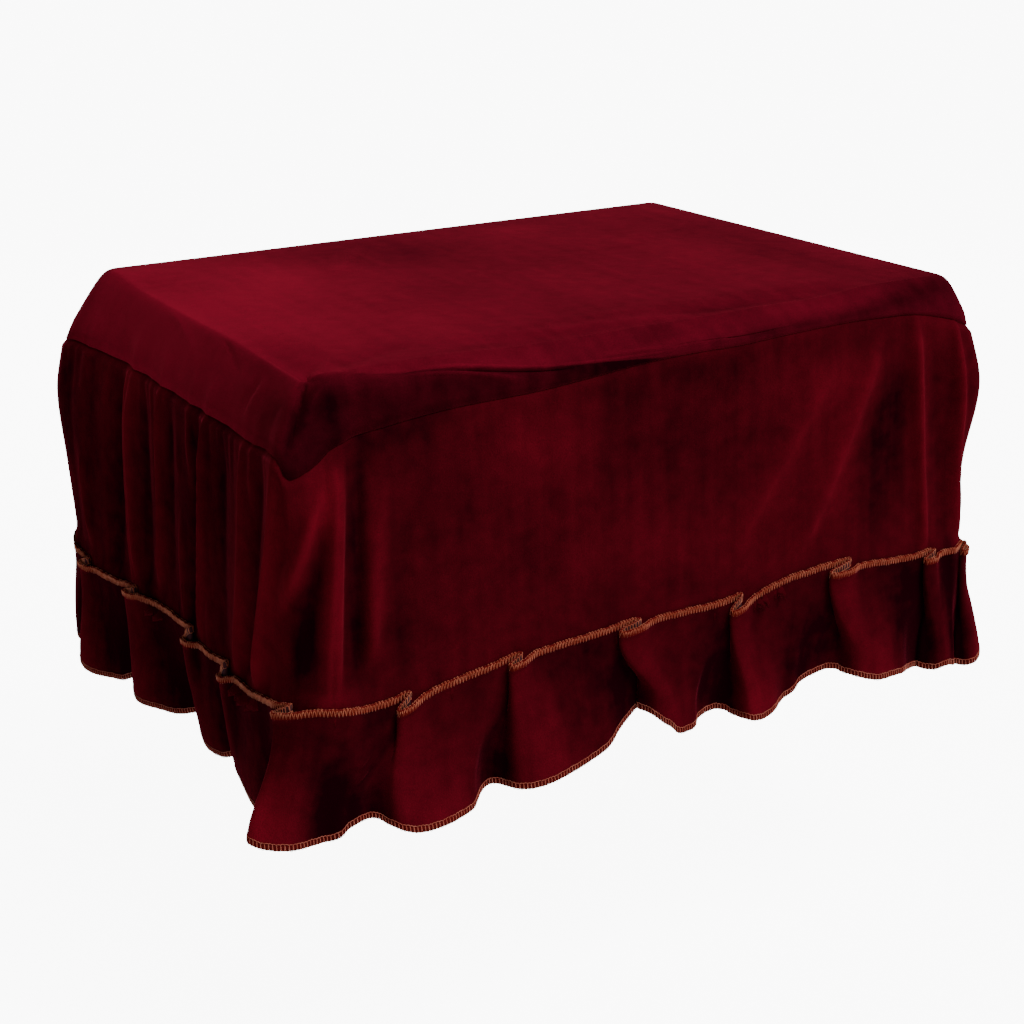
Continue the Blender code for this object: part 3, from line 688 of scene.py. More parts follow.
# %% Wrinkles of the top panel
# The points are on the flat cloth, in millimetres from its middle. width: how far a wrinkle reaches to its
# sides. height: how far it stands out, or how deep a groove it is where that is negative.
WRINKLE_FADE = 0.25
WRINKLES = (
    # from_x, from_y, to_x, to_y, width, height
    (-248, -179, -196, -199, 2.6, 1.5),
    (-202, -196, -104, -238, 3, 1.8),
    (-186, -190, -84, -206, 2.6, 1.7),
    (-96, -203, 10, -222, 3, 1.5),
    (-168, -204, -70, -222, 5, -1.8),
    (-60, -196, 70, -208, 3, 1.2),
    (-20, -200, 110, -216, 3.5, -1.2),
    (-10, -206, 60, -214, 2.5, 1.2),
    (-110, -160, 60, -176, 6, 0.9),
    (0, -168, 150, -180, 5, -0.9),
    (60, -186, 210, -190, 6, 0.8),
    (-232, -176, -160, -150, 7, -0.8),
    (-262, 40, -300, -40, 6, 0.8),
    (-258, -60, -295, -110, 5, -0.9),
    (-120, 60, -60, 150, 9, 0.7),
    (100, 20, 190, 90, 9, 0.6),
    (80, 190, 200, 222, 5, 1.2),
    (-60, 196, 90, 212, 5, -1.2),
)


def wrinkle_height(x, y):
    total = np.zeros(np.shape(x))
    for from_x, from_y, to_x, to_y, width, height in WRINKLES:
        run_x, run_y = to_x - from_x, to_y - from_y
        along = np.clip(((x - from_x) * run_x + (y - from_y) * run_y) / (run_x**2 + run_y**2), 0, 1)
        away = np.hypot(x - from_x - along * run_x, y - from_y - along * run_y)
        shows = ease(along / WRINKLE_FADE) * ease((1 - along) / WRINKLE_FADE)
        total += height * shows * np.exp(-((away / width) ** 2))
    return total


print("wrinkles:", len(WRINKLES))

# %% [markdown]
# With these parts, the panel's shape is put together. On a flap a wrinkle lifts the cloth square to its
# slope, which is flat near the seat's edge and steep at the rim seam.

# %% Shape and cut of the top panel
FLAP_WIDTH = 58.0
SLANT_AT_EDGE = 20.0
SLANT_AT_RIM = 60.0
RIM_TUCK_REACH = 0.07


def panel_cut(across, down):
    x, y, out_x, out_y, left, back = panel_lines(across, down)
    step = FLAP_WIDTH / FLAP_ROWS
    flat_x = x + np.where(left, -1, 1) * out_x * step
    flat_y = y + np.where(back, 1, -1) * out_y * step
    return np.stack((flat_x, flat_y), axis=-1) * MM


def panel_shape(across, down):
    x, y, out_x, out_y, left, back = panel_lines(across, down)
    side = np.where(out_x > out_y, np.where(left, 0, 2), np.where(back, 3, 1))
    along = np.maximum(out_x, out_y) / FLAP_ROWS
    place = edge_place(x, y, side)
    raised = wrinkle_height(*(panel_cut(across, down).T / MM))

    # The folds of the skirt reach up into the lower half of the flap only.
    out, drop = flap(place, along)
    smooth = 1 - ease(2 * along - 1)
    out = out - smooth * along**2 * fold_height(FOLDS, place, np.zeros(len(place)))
    out = out - seam_tuck(place) * ease((along - 1) / RIM_TUCK_REACH + 1)
    slant = np.radians(mix(SLANT_AT_EDGE, SLANT_AT_RIM, along))
    out = out + raised * np.sin(slant) + THIN_CLOTH / 2
    on_flap = spot(place, out, drop - raised * np.cos(slant) - THIN_CLOTH / 2)

    flat_x, flat_y = round_corners(x, y)
    on_seat = np.stack((flat_x, flat_y, THIN_CLOTH / 2 - sunk(x, y) + raised), axis=-1) * MM
    return np.where((along > 0)[:, None], on_flap, on_seat)


corner_of_cut = panel_cut(np.array([0.0]), np.array([0.0]))[0]
print("the flat panel reaches", np.abs(corner_of_cut).round(3).tolist(), "m from its middle")

# %% [markdown]
# Velvet shows where it has been stroked, and the panel's light and shade are painted in with it. The
# patches are soft spots on the flat cloth, and their amounts are added up at every vertex. Part of them is
# the pile's own uneven tone, and part is painted light on the left flap and painted shade near the front
# corners. On the front flap the cloth is painted dark below one line, from there to the rim seam, as painted
# shade. The wrinkles are painted lighter on their ridges and darker in their grooves.

# %% Brush the top panel, paint its light and shade, and model it
# The panel starts lighter than the skirt and the ruffle, partly as painted light from above.
PANEL_NAP_AND_LIGHT = 0.5
# Patches of the pile's own tone, of painted light on the left flap and of painted shade near the front
# corners.
PANEL_NAP_AND_SHADE_PATCHES = (
    # x, y, wide, tall, amount
    (-250, 60, 80, 200, 0.28),
    (-285, 60, 30, 120, 0.35),
    (-285, -100, 30, 45, 0.18),
    (-245, -225, 18, 26, -0.2),
    (-300, -172, 14, 24, -0.30),
    (-150, 95, 32, 55, 0.20),
    (-180, 0, 80, 130, 0.24),
    (-40, 115, 60, 60, -0.20),
    (85, 140, 30, 24, 0.18),
    (205, -10, 26, 200, -0.14),
    (-115, -105, 70, 50, 0.12),
    (40, -95, 60, 25, 0.05),
    (-130, -176, 24, 6, -0.14),
    (0, -188, 22, 5, -0.14),
    (60, -176, 26, 6, -0.10),
    (110, -225, 140, 28, -0.32),
    (225, -205, 45, 30, -0.2),
    (275, -170, 40, 50, -0.2),
    (-275, 186, 45, 9, -0.40),
    (60, 215, 120, 24, -0.10),
)
# Below this line the front flap is painted dark down to the rim seam, as painted shade.
DARK_X = (-250, -224, -190, -140, -84, -50, -10, 40)
DARK_Y = (-181, -184, -193, -198, -206, -214, -236, -250)
PAINTED_FLAP_SHADE = 0.34
DARK_EDGE = 3
DARK_ENDS_AT = 30
DARK_ENDS_OVER = 60
# The wrinkles' ridges are painted lighter and their grooves darker, as painted highlight and painted shade.
PAINTED_WRINKLE_LIGHT = 0.09


def soft_patches(patches, x, y, away=np.subtract):
    """The patches' amounts added up at x and y. away measures the distance from a patch's own x."""
    total = 0.0
    for at_x, at_y, wide, tall, amount in patches:
        total += amount * np.exp(-((away(x, at_x) / wide) ** 2) - ((y - at_y) / tall) ** 2)
    return total


def panel_nap_and_shade(across, down):
    x, y = panel_cut(across, down).T / MM
    below = ease((np.interp(x, DARK_X, DARK_Y) - y) / DARK_EDGE) * ease((DARK_ENDS_AT - x) / DARK_ENDS_OVER)
    painted_wrinkles = PAINTED_WRINKLE_LIGHT * wrinkle_height(x, y)
    return PANEL_NAP_AND_LIGHT - PAINTED_FLAP_SHADE * below + painted_wrinkles + soft_patches(PANEL_NAP_AND_SHADE_PATCHES, x, y)


panel = make_sheet("top_velvet", panel_columns, panel_rows, panel_shape, panel_cut, not_in_corner, panel_nap_and_shade)

# %% [markdown]
# ## The ruffle
#
# The ruffle is one long strip, folded into knife pleats as it is sewn on. At the seam three layers lie on
# each other at every pleat. Further down they let go, and the spare cloth swings out in a wave that is
# called a flute. One pleat unit is eleven points, given once at the seam and once at the hem, and a smooth
# curve runs through the points of all the units.

# %% Pleats
# lap: half of what the layers overlap. slip: how far its folds have slipped apart, up and down. flute: how
# far the hem swings out after the pleat. lean: how far the whole hem stands out there. height: the strip's
# length down from the seam. lift: how much higher the hem lies in the hollow before the pleat. hollow: how
# wide that hollow is at the hem, reach: how wide the flute is, and drift: how far along both have moved.
# late: how late the pleat opens. swing: how much the outer fold itself swings out with the flute.
PLEATS = table(
    "place lap slip flute lean height lift hollow reach drift late swing",
    (52, 7, 6, 18, -6, 82, 6, 1, 1, 0, 1, 0.6),
    (141, 8, 5, 19, -9, 80, 8, 1, 1, 0, 1, 0.2),
    (242, 6, 12, 14, -14, 75, 8, 1, 1, 0, 1, 0.1),
    (309, 5.5, 12, 13, -15, 73, 8, 0.8, 1, 0, 1, 0.2),
    (410, 6, 5, 30, -4, 85, 5, 0.8, 0.5, -7, 1, 1),
    (489, 5, 9, 19, 0, 84, 10, 1.5, 1, -14, 1.8, 0.2),
    (571, 5, 5, 18, -1, 87, 6, 1.2, 1, -8, 0.6, 0.3),
    (660, 8.5, 5, 14, -2, 79, 19, 0.75, 1, 16, 0.8, 0.2),
    (749, 5, 10, 17, -2, 86, 8, 1.4, 1, 1, 0.8, 0.8),
    (842, 9.5, 8, 18, -1, 85, 8, 1.6, 1, 8, 0.8, 0.2),
    (927, 5, 6, 14, 0, 83, -4, 0.9, 1, 4, 0.7, 0.2),
    (966, 4.5, 5, 20, 0, 90, -2, 1, 1, 0, 1, 0.2),
    (1050, 6, 6, 19, -2, 83, 12, 1.2, 1, 6, 0.8, 0.2),
    (1139, 7.5, 9, 21, -4, 82, 10, 1.4, 1, -5, 1.4, 0.3),
    (1222, 5.5, 4, 17, -5, 82, 14, 1, 1, 8, 0.8, 0.2),
    (1311, 7.5, 12, 20, -4, 83, 9, 1, 1, -6, 1, 0.2),
    (1394, 7, 5, 22, -2, 84, 8, 1.2, 1, 0, 1.2, 0.6),
    (1480, 5.5, 10, 18, -1, 83, 12, 1.4, 1, -8, 1.6, 0.2),
    (1568, 8, 5, 20, -3, 82, 9, 1.1, 1, 6, 0.7, 0.3),
    (1655, 5.5, 12, 17, -4, 82, 16, 0.9, 1, 4, 0.9, 0.2),
    (1738, 7.5, 6, 21, -3, 83, 9, 1.4, 1, -6, 1.3, 0.2),
    (1826, 6, 9, 18, -2, 82, 13, 1.2, 1, 5, 0.8, 0.3),
    (1917, 7, 6, 34, -25, 80, 8, 1, 1, 0, 0.4, 0.5),
)
print("pleats:", len(PLEATS))

# %% [markdown]
# The eleven points of a unit follow. The column called steps says how many mesh columns the curve gets on
# its way to the next point: few where two layers lie flat on each other, more round a flute.

# %% Points of one pleat unit
# end: 0 counts from this pleat and 1 from the next. laps and run: its place at the seam, in laps and in
# millimetres. layer: which layer of the pleat it lies in there. slip: its share of the slip. hem_run: its
# place at the hem, in millimetres. Where hem_share isn't 0, that is a share of the way from the fourth point
# to the seventh instead. share: its share of the flute, and swung: its share where the outer fold swings out
# with it. base: what it stands out besides, and lift: its share of the hollow's lift. late: how late on the
# way down it swings out.
UNIT = table(
    "end laps run layer slip hem_run hem_share share swung base lift late steps",
    (0, -1, 0, 1.5, 0.42, 0, 0, 0.10, 0.85, 9.6, 0.85, 1.2, 3),
    (0, -1, 1.4, 2, 0.42, 4.5, 0, 0.32, 0.95, 9.2, 0.6, 1.2, 4),
    (0, 1, 0, 1.85, 0.3, 14, 0, 0.75, 1, 5.5, 0.22, 1.2, 5),
    (0, 1, 11, 0.3, 0.08, 25, 0, 1, 0.8, 4, 0.03, 1.2, 7),
    (0.5, 0, 0, 0, 0, 0, 0.45, 0.94, 0.15, 4, 0, 1.2, 7),
    (1, -1, -16, 0, -0.08, 0, 0.78, 0.7, 0.1, 4, 0.14, 1.6, 5),
    (1, -1, -3, 0, -0.3, -24, 0, 0.36, 0.05, 3, 0.52, 2.4, 5),
    (1, 1, -1.4, 0, -0.55, -15.5, 0, 0.08, 0.04, 2, 0.86, 2.4, 3),
    (1, 1, 0, 0.5, -0.58, -9.5, 0, 0, 0, 2.2, 1, 1.2, 3),
    (1, 1, -1.4, 1, -0.5, -8, 0, 0, 0, 4.6, 1, 1.2, 4),
    (1, -1, 1.4, 1, 0.3, -3.6, 0, 0, 0, 8.2, 0.96, 1.2, 3),
)
print("points of a pleat unit:", len(UNIT))

# %% [markdown]
# A line of points runs down the cloth from each of the eleven. It starts in its layer of the pleat and ends
# on its part of the wave, and soft steps say how far the pleat has opened on the way. The strip keeps its
# length, so it rises a little where it swings out.

# %% Lines down the ruffle
CREST_START = UNIT[3]
CREST_END = UNIT[6]
HOLLOW_STARTS = -8.0
DRIFT_WHOLE = 12.0
DRIFT_FADES = 25.0
SLIP_AT_HEM = 0.3

RUFFLE_HEADER = 5.5
RUFFLE_SEAM_DOWN = 3.0
SEAM_SHARE = 0.075
FIRST_LAYER = CLOTH / 2 + 1.5 * SEAM_GAP
LAYER_STEP = 2.1
HEADER_SPREAD = 1.35
LAPS_OPEN = 0.85
FLUTES_OPEN = 1.06
LEAN_POWER = 1.5
WHOLE_UNIT = 78.0


def hem_run(point, near, narrow):
    """How far along from its pleat a point lies at the hem."""
    if point.hem_run < HOLLOW_STARTS:
        width = near.hollow
    elif point.hem_run > 0:
        width = near.reach
    else:
        width = 1.0
    follows = 1 - ease((abs(point.hem_run) - DRIFT_WHOLE) / DRIFT_FADES)
    return point.hem_run * narrow * width + near.drift * follows


def ruffle_line(column, down):
    """The middle of the cloth down one line of control points, at shares of the way down."""
    here = PLEATS[column // len(UNIT)]
    after = PLEATS[(column // len(UNIT) + 1) % len(PLEATS)]
    point = UNIT[column % len(UNIT)]
    length = (after.place - here.place) % AROUND
    narrow = min(1.0, length / WHOLE_UNIT)
    header = down < SEAM_SHARE
    below = np.maximum(down - SEAM_SHARE, 0.0) / (1.0 - SEAM_SHARE)
    opens = ease(below / FLUTES_OPEN)

    # Along the wall: laps at the seam, which open into a wave by the hem.
    near = after if point.end == 1 else here
    seam_run = length * point.end + point.laps * near.lap + point.run * narrow
    if point.hem_share:
        start = hem_run(CREST_START, here, narrow)
        hem_place = mix(start, length + hem_run(CREST_END, after, narrow), point.hem_share)
    else:
        hem_place = length * point.end + hem_run(point, near, narrow)
    place = here.place + mix(seam_run, hem_place, ease(below / LAPS_OPEN))
    part = (place - here.place) / length

    # Out from the skirt: layer on layer at the seam, and flutes at the hem.
    at_seam = FIRST_LAYER + point.layer * LAYER_STEP * np.where(header, HEADER_SPREAD, 1.0)
    late = point.late * mix(here.late, after.late, point.end)
    flute = mix(point.share, point.swung, here.swing) * here.flute * narrow**0.5 * opens**late
    lean = mix(here.lean, after.lean, ease(part)) * below**LEAN_POWER
    out = mix(at_seam, point.base, opens) + flute + lean

    # Down: the strip keeps its length, and the pleat's layers have slipped up and down a little.
    slipped = near.slip * point.slip * mix(1.0, SLIP_AT_HEM, opens)
    height = mix(here.height, after.height, ease(part))
    lift = near.lift * point.lift * opens
    fall = (height - out**2 / (2 * height)) * below - lift
    fall = np.where(header, RUFFLE_HEADER * (down / SEAM_SHARE - 1), fall)
    drop = section("seam_drop", place) + RUFFLE_SEAM_DOWN + fall + slipped
    return spot(place, skirt_outside(place) + out, drop)


print("the first line runs from and to", ruffle_line(0, np.array([0.0, 1.0])).round(3).tolist())

# %% [markdown]
# A curve through points that lie 1 mm apart in one place and 20 mm apart in the next overshoots, unless its
# speed follows the distances. The centripetal curve does: it takes the square root of each distance as its
# time. It is worked out for all rows of the ruffle at once.

# %% Curve through the ruffle's lines
HEADER_ROWS = 4
RUFFLE_ROWS = 32
CLOSEST = 1e-6


def centripetal(p0, p1, p2, p3, share):
    """Points between p1 and p2, a share of the way along, on a curve that doesn't overshoot."""
    d0, d1, d2 = (
        np.sqrt(np.maximum(np.linalg.norm(b - a, axis=-1, keepdims=True), CLOSEST))
        for a, b in ((p0, p1), (p1, p2), (p2, p3))
    )
    slope_1 = d1 * ((p1 - p0) / d0 - (p2 - p0) / (d0 + d1) + (p2 - p1) / d1)
    slope_2 = d1 * ((p2 - p1) / d1 - (p3 - p1) / (d1 + d2) + (p3 - p2) / d2)
    return smooth_step(share, p1, slope_1, p2, slope_2)


header_shares = np.linspace(0, SEAM_SHARE, HEADER_ROWS + 1)[:-1]
ruffle_shares = np.concatenate((header_shares, np.linspace(SEAM_SHARE, 1, RUFFLE_ROWS - HEADER_ROWS + 1)))
lines = np.array([ruffle_line(column, ruffle_shares) for column in range(len(PLEATS) * len(UNIT))])
steps = [point.steps for _ in PLEATS for point in UNIT]
ruffle_columns = sum(steps)
columns = []
for i, count in enumerate(steps):
    ends = [lines[k % len(lines)] for k in range(i - 1, i + 3)]
    columns += [centripetal(*ends, k / count) for k in range(count)]
ruffle_net = np.array(columns)
print("columns of the ruffle:", ruffle_columns)

# %% [markdown]
# The strip's own length at the hem is measured on the curve. It is what the ruffle was cut to, and it goes
# into the UV map, so that no pattern is stretched where the cloth is folded.

# %% Shape and cut of the ruffle
STRIP_HEIGHT = 0.088
hem_line = ruffle_net[:, -1]
hem_steps = np.linalg.norm(np.roll(hem_line, -1, axis=0) - hem_line, axis=-1)
strip_run = np.concatenate(([0.0], np.cumsum(hem_steps)))


def ruffle_index(across, down):
    """The column and row of the ruffle's net. The last column is the first one again."""
    return grid_line(across, ruffle_columns) % ruffle_columns, grid_line(down, RUFFLE_ROWS)


def ruffle_shape(across, down):
    return ruffle_net[ruffle_index(across, down)]


def ruffle_cut(across, down):
    run = strip_run[grid_line(across, ruffle_columns)]
    return np.stack((run, ruffle_shares[grid_line(down, RUFFLE_ROWS)] * STRIP_HEIGHT), axis=-1)


print("length of the strip:", round(strip_run[-1], 2), "m")

# %% [markdown]
# The ruffle is painted light on the crests of its waves and dark in the hollows between them, as painted
# highlight and painted shade. A crest is where the net lies further out than it does on average round there.
# The left side is painted darker as painted shade, and the ruffle gets darker towards the right.

# %% Paint light and shade on the ruffle and model it
RUFFLE_NAP_AND_SHADE = 0.2
# Crests of the flutes are painted lighter and hollows darker, as painted highlight and painted shade.
PAINTED_FLUTE_LIGHT = 0.035
FLUTE_REACH = 24
DEEPEST_FLUTE = -4.5
# Painted shade on the left side of the ruffle.
LEFT_SIDE_SHADE = -0.14
LEFT_SIDE_X = -SEAT_LENGTH / 2 - 40
LEFT_SIDE_REACH = 45
# Darker towards the right.
RIGHT_END_DARKER = -0.09
RIGHT_END_X = 130
RIGHT_END_OVER = 100

beyond_x = np.maximum(np.abs(ruffle_net[..., 0]) / MM - SEAT_LENGTH / 2, 0)
beyond_y = np.maximum(np.abs(ruffle_net[..., 1]) / MM - SEAT_DEPTH / 2, 0)
outset_of_net = np.hypot(beyond_x, beyond_y)
neighbours = range(-FLUTE_REACH, FLUTE_REACH + 1)
mean_outset = np.mean([np.roll(outset_of_net, k, axis=0) for k in neighbours], axis=0)


def ruffle_nap_and_shade(across, down):
    at = ruffle_index(across, down)
    x = ruffle_net[at][:, 0] / MM
    on_left = np.exp(-(((x - LEFT_SIDE_X) / LEFT_SIDE_REACH) ** 2))
    at_right = ease((x - RIGHT_END_X) / RIGHT_END_OVER)
    stands_out = np.maximum((outset_of_net - mean_outset)[at], DEEPEST_FLUTE)
    return RUFFLE_NAP_AND_SHADE + LEFT_SIDE_SHADE * on_left + RIGHT_END_DARKER * at_right + PAINTED_FLUTE_LIGHT * stands_out


ruffle = make_sheet("ruffle_velvet", ruffle_columns, RUFFLE_ROWS, ruffle_shape, ruffle_cut, nap_and_shade=ruffle_nap_and_shade)

# %% [markdown]
# ## The skirt
#
# The skirt ends a little below the ruffle's seam, behind the ruffle, with a raw edge that is pressed against
# the ruffle's back. Each point of this edge is moved out, step by step, by its distance to the nearest point
# of the ruffle's net, so it comes close to the ruffle and never through it.

# %% Raw edge of the skirt
SKIRT_COLUMNS = 960
EDGE_STEPS = 8
EDGE_CLEAR = 1.6
EDGE_MOST = 9.0
EDGE_DOWN = 3.0
EDGE_NEAR_ROWS = 3


def raw_edge():
    """How far out each column of the skirt can go just below the ruffle's seam."""
    place = np.linspace(0, AROUND, SKIRT_COLUMNS + 1)
    ruffle_back = ruffle_net[:, HEADER_ROWS : HEADER_ROWS + EDGE_NEAR_ROWS].reshape(-1, 3)
    start = skirt_outside(place)
    drop = section("seam_drop", place) + RUFFLE_SEAM_DOWN + EDGE_DOWN
    gone = np.zeros(len(place))
    for _ in range(EDGE_STEPS):
        edge = spot(place, start + gone, drop)
        nearest = np.linalg.norm(edge[:, None] - ruffle_back[None], axis=-1).min(axis=1) / MM
        gone = np.clip(gone + nearest - EDGE_CLEAR, 0, EDGE_MOST)
    return gone


edge_out = raw_edge()
print("the raw edge goes out by", edge_out.min().round(1), "to", edge_out.max().round(1), "mm")

# %% [markdown]
# The rows are close together under the rim seam, where the cloth turns out of the seam within a few
# millimetres. The first row is the seam allowance, which stands up behind the top panel.

# %% Shape and cut of the skirt
SKIRT_ROWS = 48
SEAM_ROWS = (0.0, 0.004, 0.009, 0.016, 0.025, 0.036)
EVEN_ROWS_FROM = 0.05
SEAM_ALLOWANCE_IN = 1.6
SEAM_ALLOWANCE_UP = 2.0
SKIRT_ALLOWANCE = 9.0
EDGE_TURNS_OVER = 0.024
SKIRT_STRIP = 190.0

even_rows = np.linspace(EVEN_ROWS_FROM, 1.0, SKIRT_ROWS + 1 - len(SEAM_ROWS))
row_levels = np.concatenate((SEAM_ROWS, even_rows))


def skirt_shape(across, down):
    place = across * AROUND
    long = section("seam_drop", place) - section("rim_drop", place)
    level = row_levels[grid_line(down, SKIRT_ROWS)] * (1 + SKIRT_ALLOWANCE / long)
    outset, drop = fine_wall(place, level)
    outset += edge_out[grid_line(across, SKIRT_COLUMNS)] * ease((level - 1.0) / EDGE_TURNS_OVER)
    allowance = down == 0
    outset = outset - SEAM_ALLOWANCE_IN * allowance
    return spot(place, outset + THIN_CLOTH / 2, drop + SEAM_GAP - SEAM_ALLOWANCE_UP * allowance)


def skirt_cut(across, down):
    return np.stack((across * AROUND, down * SKIRT_STRIP), axis=-1) * MM


print("levels of the skirt's rows:", row_levels[:7].round(3).tolist(), "and so on")

# %% [markdown]
# The skirt is painted light on the ridges of its folds and creases and dark between them, as painted
# highlight and painted shade. Patches are added to that as on the top panel, only that here a patch has a
# place round the cover and a level. Part of them is the pile's own uneven tone, and part is painted shade
# over the whole left side, with painted light and shade on single facets beside the folds.

# %% Paint light and shade on the skirt and model it
SKIRT_NAP_AND_SHADE = 0.27
# Ridges of the folds and creases are painted lighter and troughs darker, as painted highlight and shade.
PAINTED_FOLD_LIGHT = 0.045
DEEPEST_PAINTED_FOLD = -3.0
# Patches of the pile's own tone, and of painted light and shade beside the folds.
SKIRT_NAP_AND_SHADE_PATCHES = (
    # place, level, wide, tall, amount
    (441, 0.12, 12, 0.14, 0.22),
    (428, 0.66, 9, 0.20, -0.22),
    (463, 0.35, 6, 0.35, -0.10),
    (500, 0.02, 45, 0.05, -0.14),
    (590, 0.20, 30, 0.10, 0.12),
    (650, 0.65, 55, 0.10, 0.08),
    (700, 0.82, 20, 0.07, -0.10),
    (740, 0.05, 70, 0.06, -0.06),
    (800, 0.20, 75, 0.08, 0.08),
    (780, 0.60, 110, 0.60, -0.05),
    (876, 0.62, 18, 0.40, -0.14),
    (890, 0.28, 12, 0.20, -0.12),
    # Painted shade over the whole left side.
    (215, 0.50, 215, 2.00, -0.15),
    (5, 0.60, 30, 0.12, 0.25),
    (85, 0.55, 20, 0.45, -0.08),
    (134, 0.30, 12, 0.60, 0.16),
    (158, 0.04, 45, 0.08, 0.16),
    (340, 0.60, 10, 0.20, 0.14),
    (404, 0.55, 7, 0.40, 0.10),
    (1180, 0.40, 60, 0.30, 0.10),
    (1600, 0.50, 80, 0.30, 0.10),
    (1760, 0.30, 50, 0.20, -0.10),
)


def skirt_nap_and_shade(across, down):
    place = across * AROUND
    level = row_levels[grid_line(down, SKIRT_ROWS)]
    folded = np.maximum(fold_height(FOLDS, place, level) + crease_height(place, level), DEEPEST_PAINTED_FOLD)
    return SKIRT_NAP_AND_SHADE + PAINTED_FOLD_LIGHT * folded + soft_patches(SKIRT_NAP_AND_SHADE_PATCHES, place, level, between)


skirt = make_sheet("skirt_velvet", SKIRT_COLUMNS, SKIRT_ROWS, skirt_shape, skirt_cut, nap_and_shade=skirt_nap_and_shade)

# %% [markdown]
# ## Overlock stitching
#
# The ruffle's raw edges are bound with overlock. A needle thread runs straight along the cloth. A looper
# thread starts at it, swings over the edge and comes back, once for each stitch, and another one does the
# same behind the cloth. Each stitch is therefore a few points on the bound band, repeated all the way
# round, and the band itself is found from the ruffle's own net of points, so the thread follows every
# pleat.

# %% Lines of the bound edges
# pitch: the length of a stitch. depth: how wide the bound band is. radius: half the thread's thickness.
HEADER_BOUND, HEM_BOUND = table(
    "name pitch depth radius",
    ("header_overlock", 2.3, 4.7, 0.2),
    ("hem_overlock", 2.5, 4.4, 0.19),
)
BAND_ROWS = 3


def unit(vectors):
    return vectors / np.maximum(np.linalg.norm(vectors, axis=-1, keepdims=True), TINY)


class Band:
    """A bound band along the ruffle. net: the ruffle's columns of points, from the bound edge inwards."""

    def __init__(self, net, bound):
        self.edge = net[:, 0]
        gone = np.cumsum(np.linalg.norm(np.diff(net, axis=1), axis=-1), axis=1)
        row = np.argmax(gone > bound.depth * MM, axis=1)
        each = np.arange(len(net))
        before = np.where(row > 0, gone[each, row - 1], 0.0)
        share = (bound.depth * MM - before) / (gone[each, row] - before)
        self.inner = net[each, row] + share[:, None] * (net[each, row + 1] - net[each, row])
        along = unit(np.roll(self.edge, -1, axis=0) - np.roll(self.edge, 1, axis=0))
        self.out = unit(np.cross(along, unit(self.inner - self.edge)))
        length = np.linalg.norm(np.roll(self.edge, -1, axis=0) - self.edge, axis=-1)
        self.run = np.concatenate(([0.0], np.cumsum(length)))
        self.stitches = round(self.run[-1] / (bound.pitch * MM))

    def points(self, stitch, depth, lift):
        """The places at a count of stitches along, a share of the depth and a lift off the cloth in mm."""
        run = np.asarray(stitch) / self.stitches * self.run[-1] % self.run[-1]
        i = np.clip(np.searchsorted(self.run, run, side="right") - 1, 0, len(self.edge) - 1)
        share = ((run - self.run[i]) / (self.run[i + 1] - self.run[i]))[:, None]
        after = (i + 1) % len(self.edge)
        edge = mix(self.edge[i], self.edge[after], share)
        inner = mix(self.inner[i], self.inner[after], share)
        out = unit(mix(self.out[i], self.out[after], share))
        return edge + depth[:, None] * (inner - edge) + lift[:, None] * MM * out, out


header_band = Band(ruffle_net[:, : HEADER_ROWS + BAND_ROWS], HEADER_BOUND)
hem_band = Band(ruffle_net[:, : -HEADER_ROWS - BAND_ROWS : -1], HEM_BOUND)
print("stitches:", header_band.stitches, "along the header and", hem_band.stitches, "along the hem")

# %% [markdown]
# Every thread is a grid rolled up into a tube and moved along its path. The looper's arch leans a little,
# because the cloth moves on while the looper swings. The three threads of an edge are joined into one mesh.

# %% Thread the stitches
# run: how far through the stitch. depth: from 0 at the edge to 1 at the needle line. lift: off the middle
# of the cloth.
THREADS = {
    "front looper": (
        (0.00, 1.00, 0.80),
        (0.10, 0.60, 1.00),
        (0.16, 0.22, 1.00),
        (0.32, 0.02, 0.85),
        (0.68, -0.04, 0.80),
        (0.94, 0.10, 0.95),
        (1.00, 0.40, 1.00),
        (0.98, 0.75, 0.95),
    ),
    "back looper": (
        (0.00, 0.95, -0.80),
        (0.30, 0.10, -0.80),
        (0.50, -0.03, -0.30),
        (0.70, 0.10, -0.80),
    ),
    "needle": ((0.0, 0.98, 0.85), (0.5, 1.08, 1.0)),
}
THREAD_SIDES = 4
THREAD_UNEVEN = ((0.05, 1 / 1.7, 0.0), (0.04, 1 / 0.61, 2.0))


def thread_mesh(band, bound, points):
    """A closed tube along a path of stitches."""
    knots = np.array(points)
    count = band.stitches * len(knots)
    stitch = (np.arange(band.stitches)[:, None] + knots[None, :, 0]).ravel()
    depth = np.tile(knots[:, 1], band.stitches) + waves(stitch, THREAD_UNEVEN)
    path, out = band.points(stitch, depth, np.tile(knots[:, 2], band.stitches))
    ahead = unit(np.roll(path, -1, axis=0) - np.roll(path, 1, axis=0))
    side = unit(np.cross(ahead, out))
    up = np.cross(side, ahead)

    def place(across, down):
        i = grid_line(across, count) % count
        turn = (2 * np.pi * down)[:, None]
        return path[i] + bound.radius * MM * (np.cos(turn) * side[i] + np.sin(turn) * up[i])

    def cut(across, down):
        return np.stack((across * count * MM, down), axis=-1)

    return make_sheet(bound.name, count, THREAD_SIDES, place, cut)


def bind(band, bound):
    """All the threads of one bound edge, joined into a single mesh."""
    pieces = [thread_mesh(band, bound, points) for points in THREADS.values()]
    joined = bmesh.new()
    for piece in pieces:
        joined.from_mesh(piece.data)
    joined.to_mesh(pieces[0].data)
    joined.free()
    pieces[0].data.shade_smooth()
    for piece in pieces[1:]:
        bpy.data.objects.remove(piece)
    return pieces[0]


header_thread = bind(header_band, HEADER_BOUND)
hem_thread = bind(hem_band, HEM_BOUND)
print("faces of the threads:", len(header_thread.data.polygons), len(hem_thread.data.polygons))

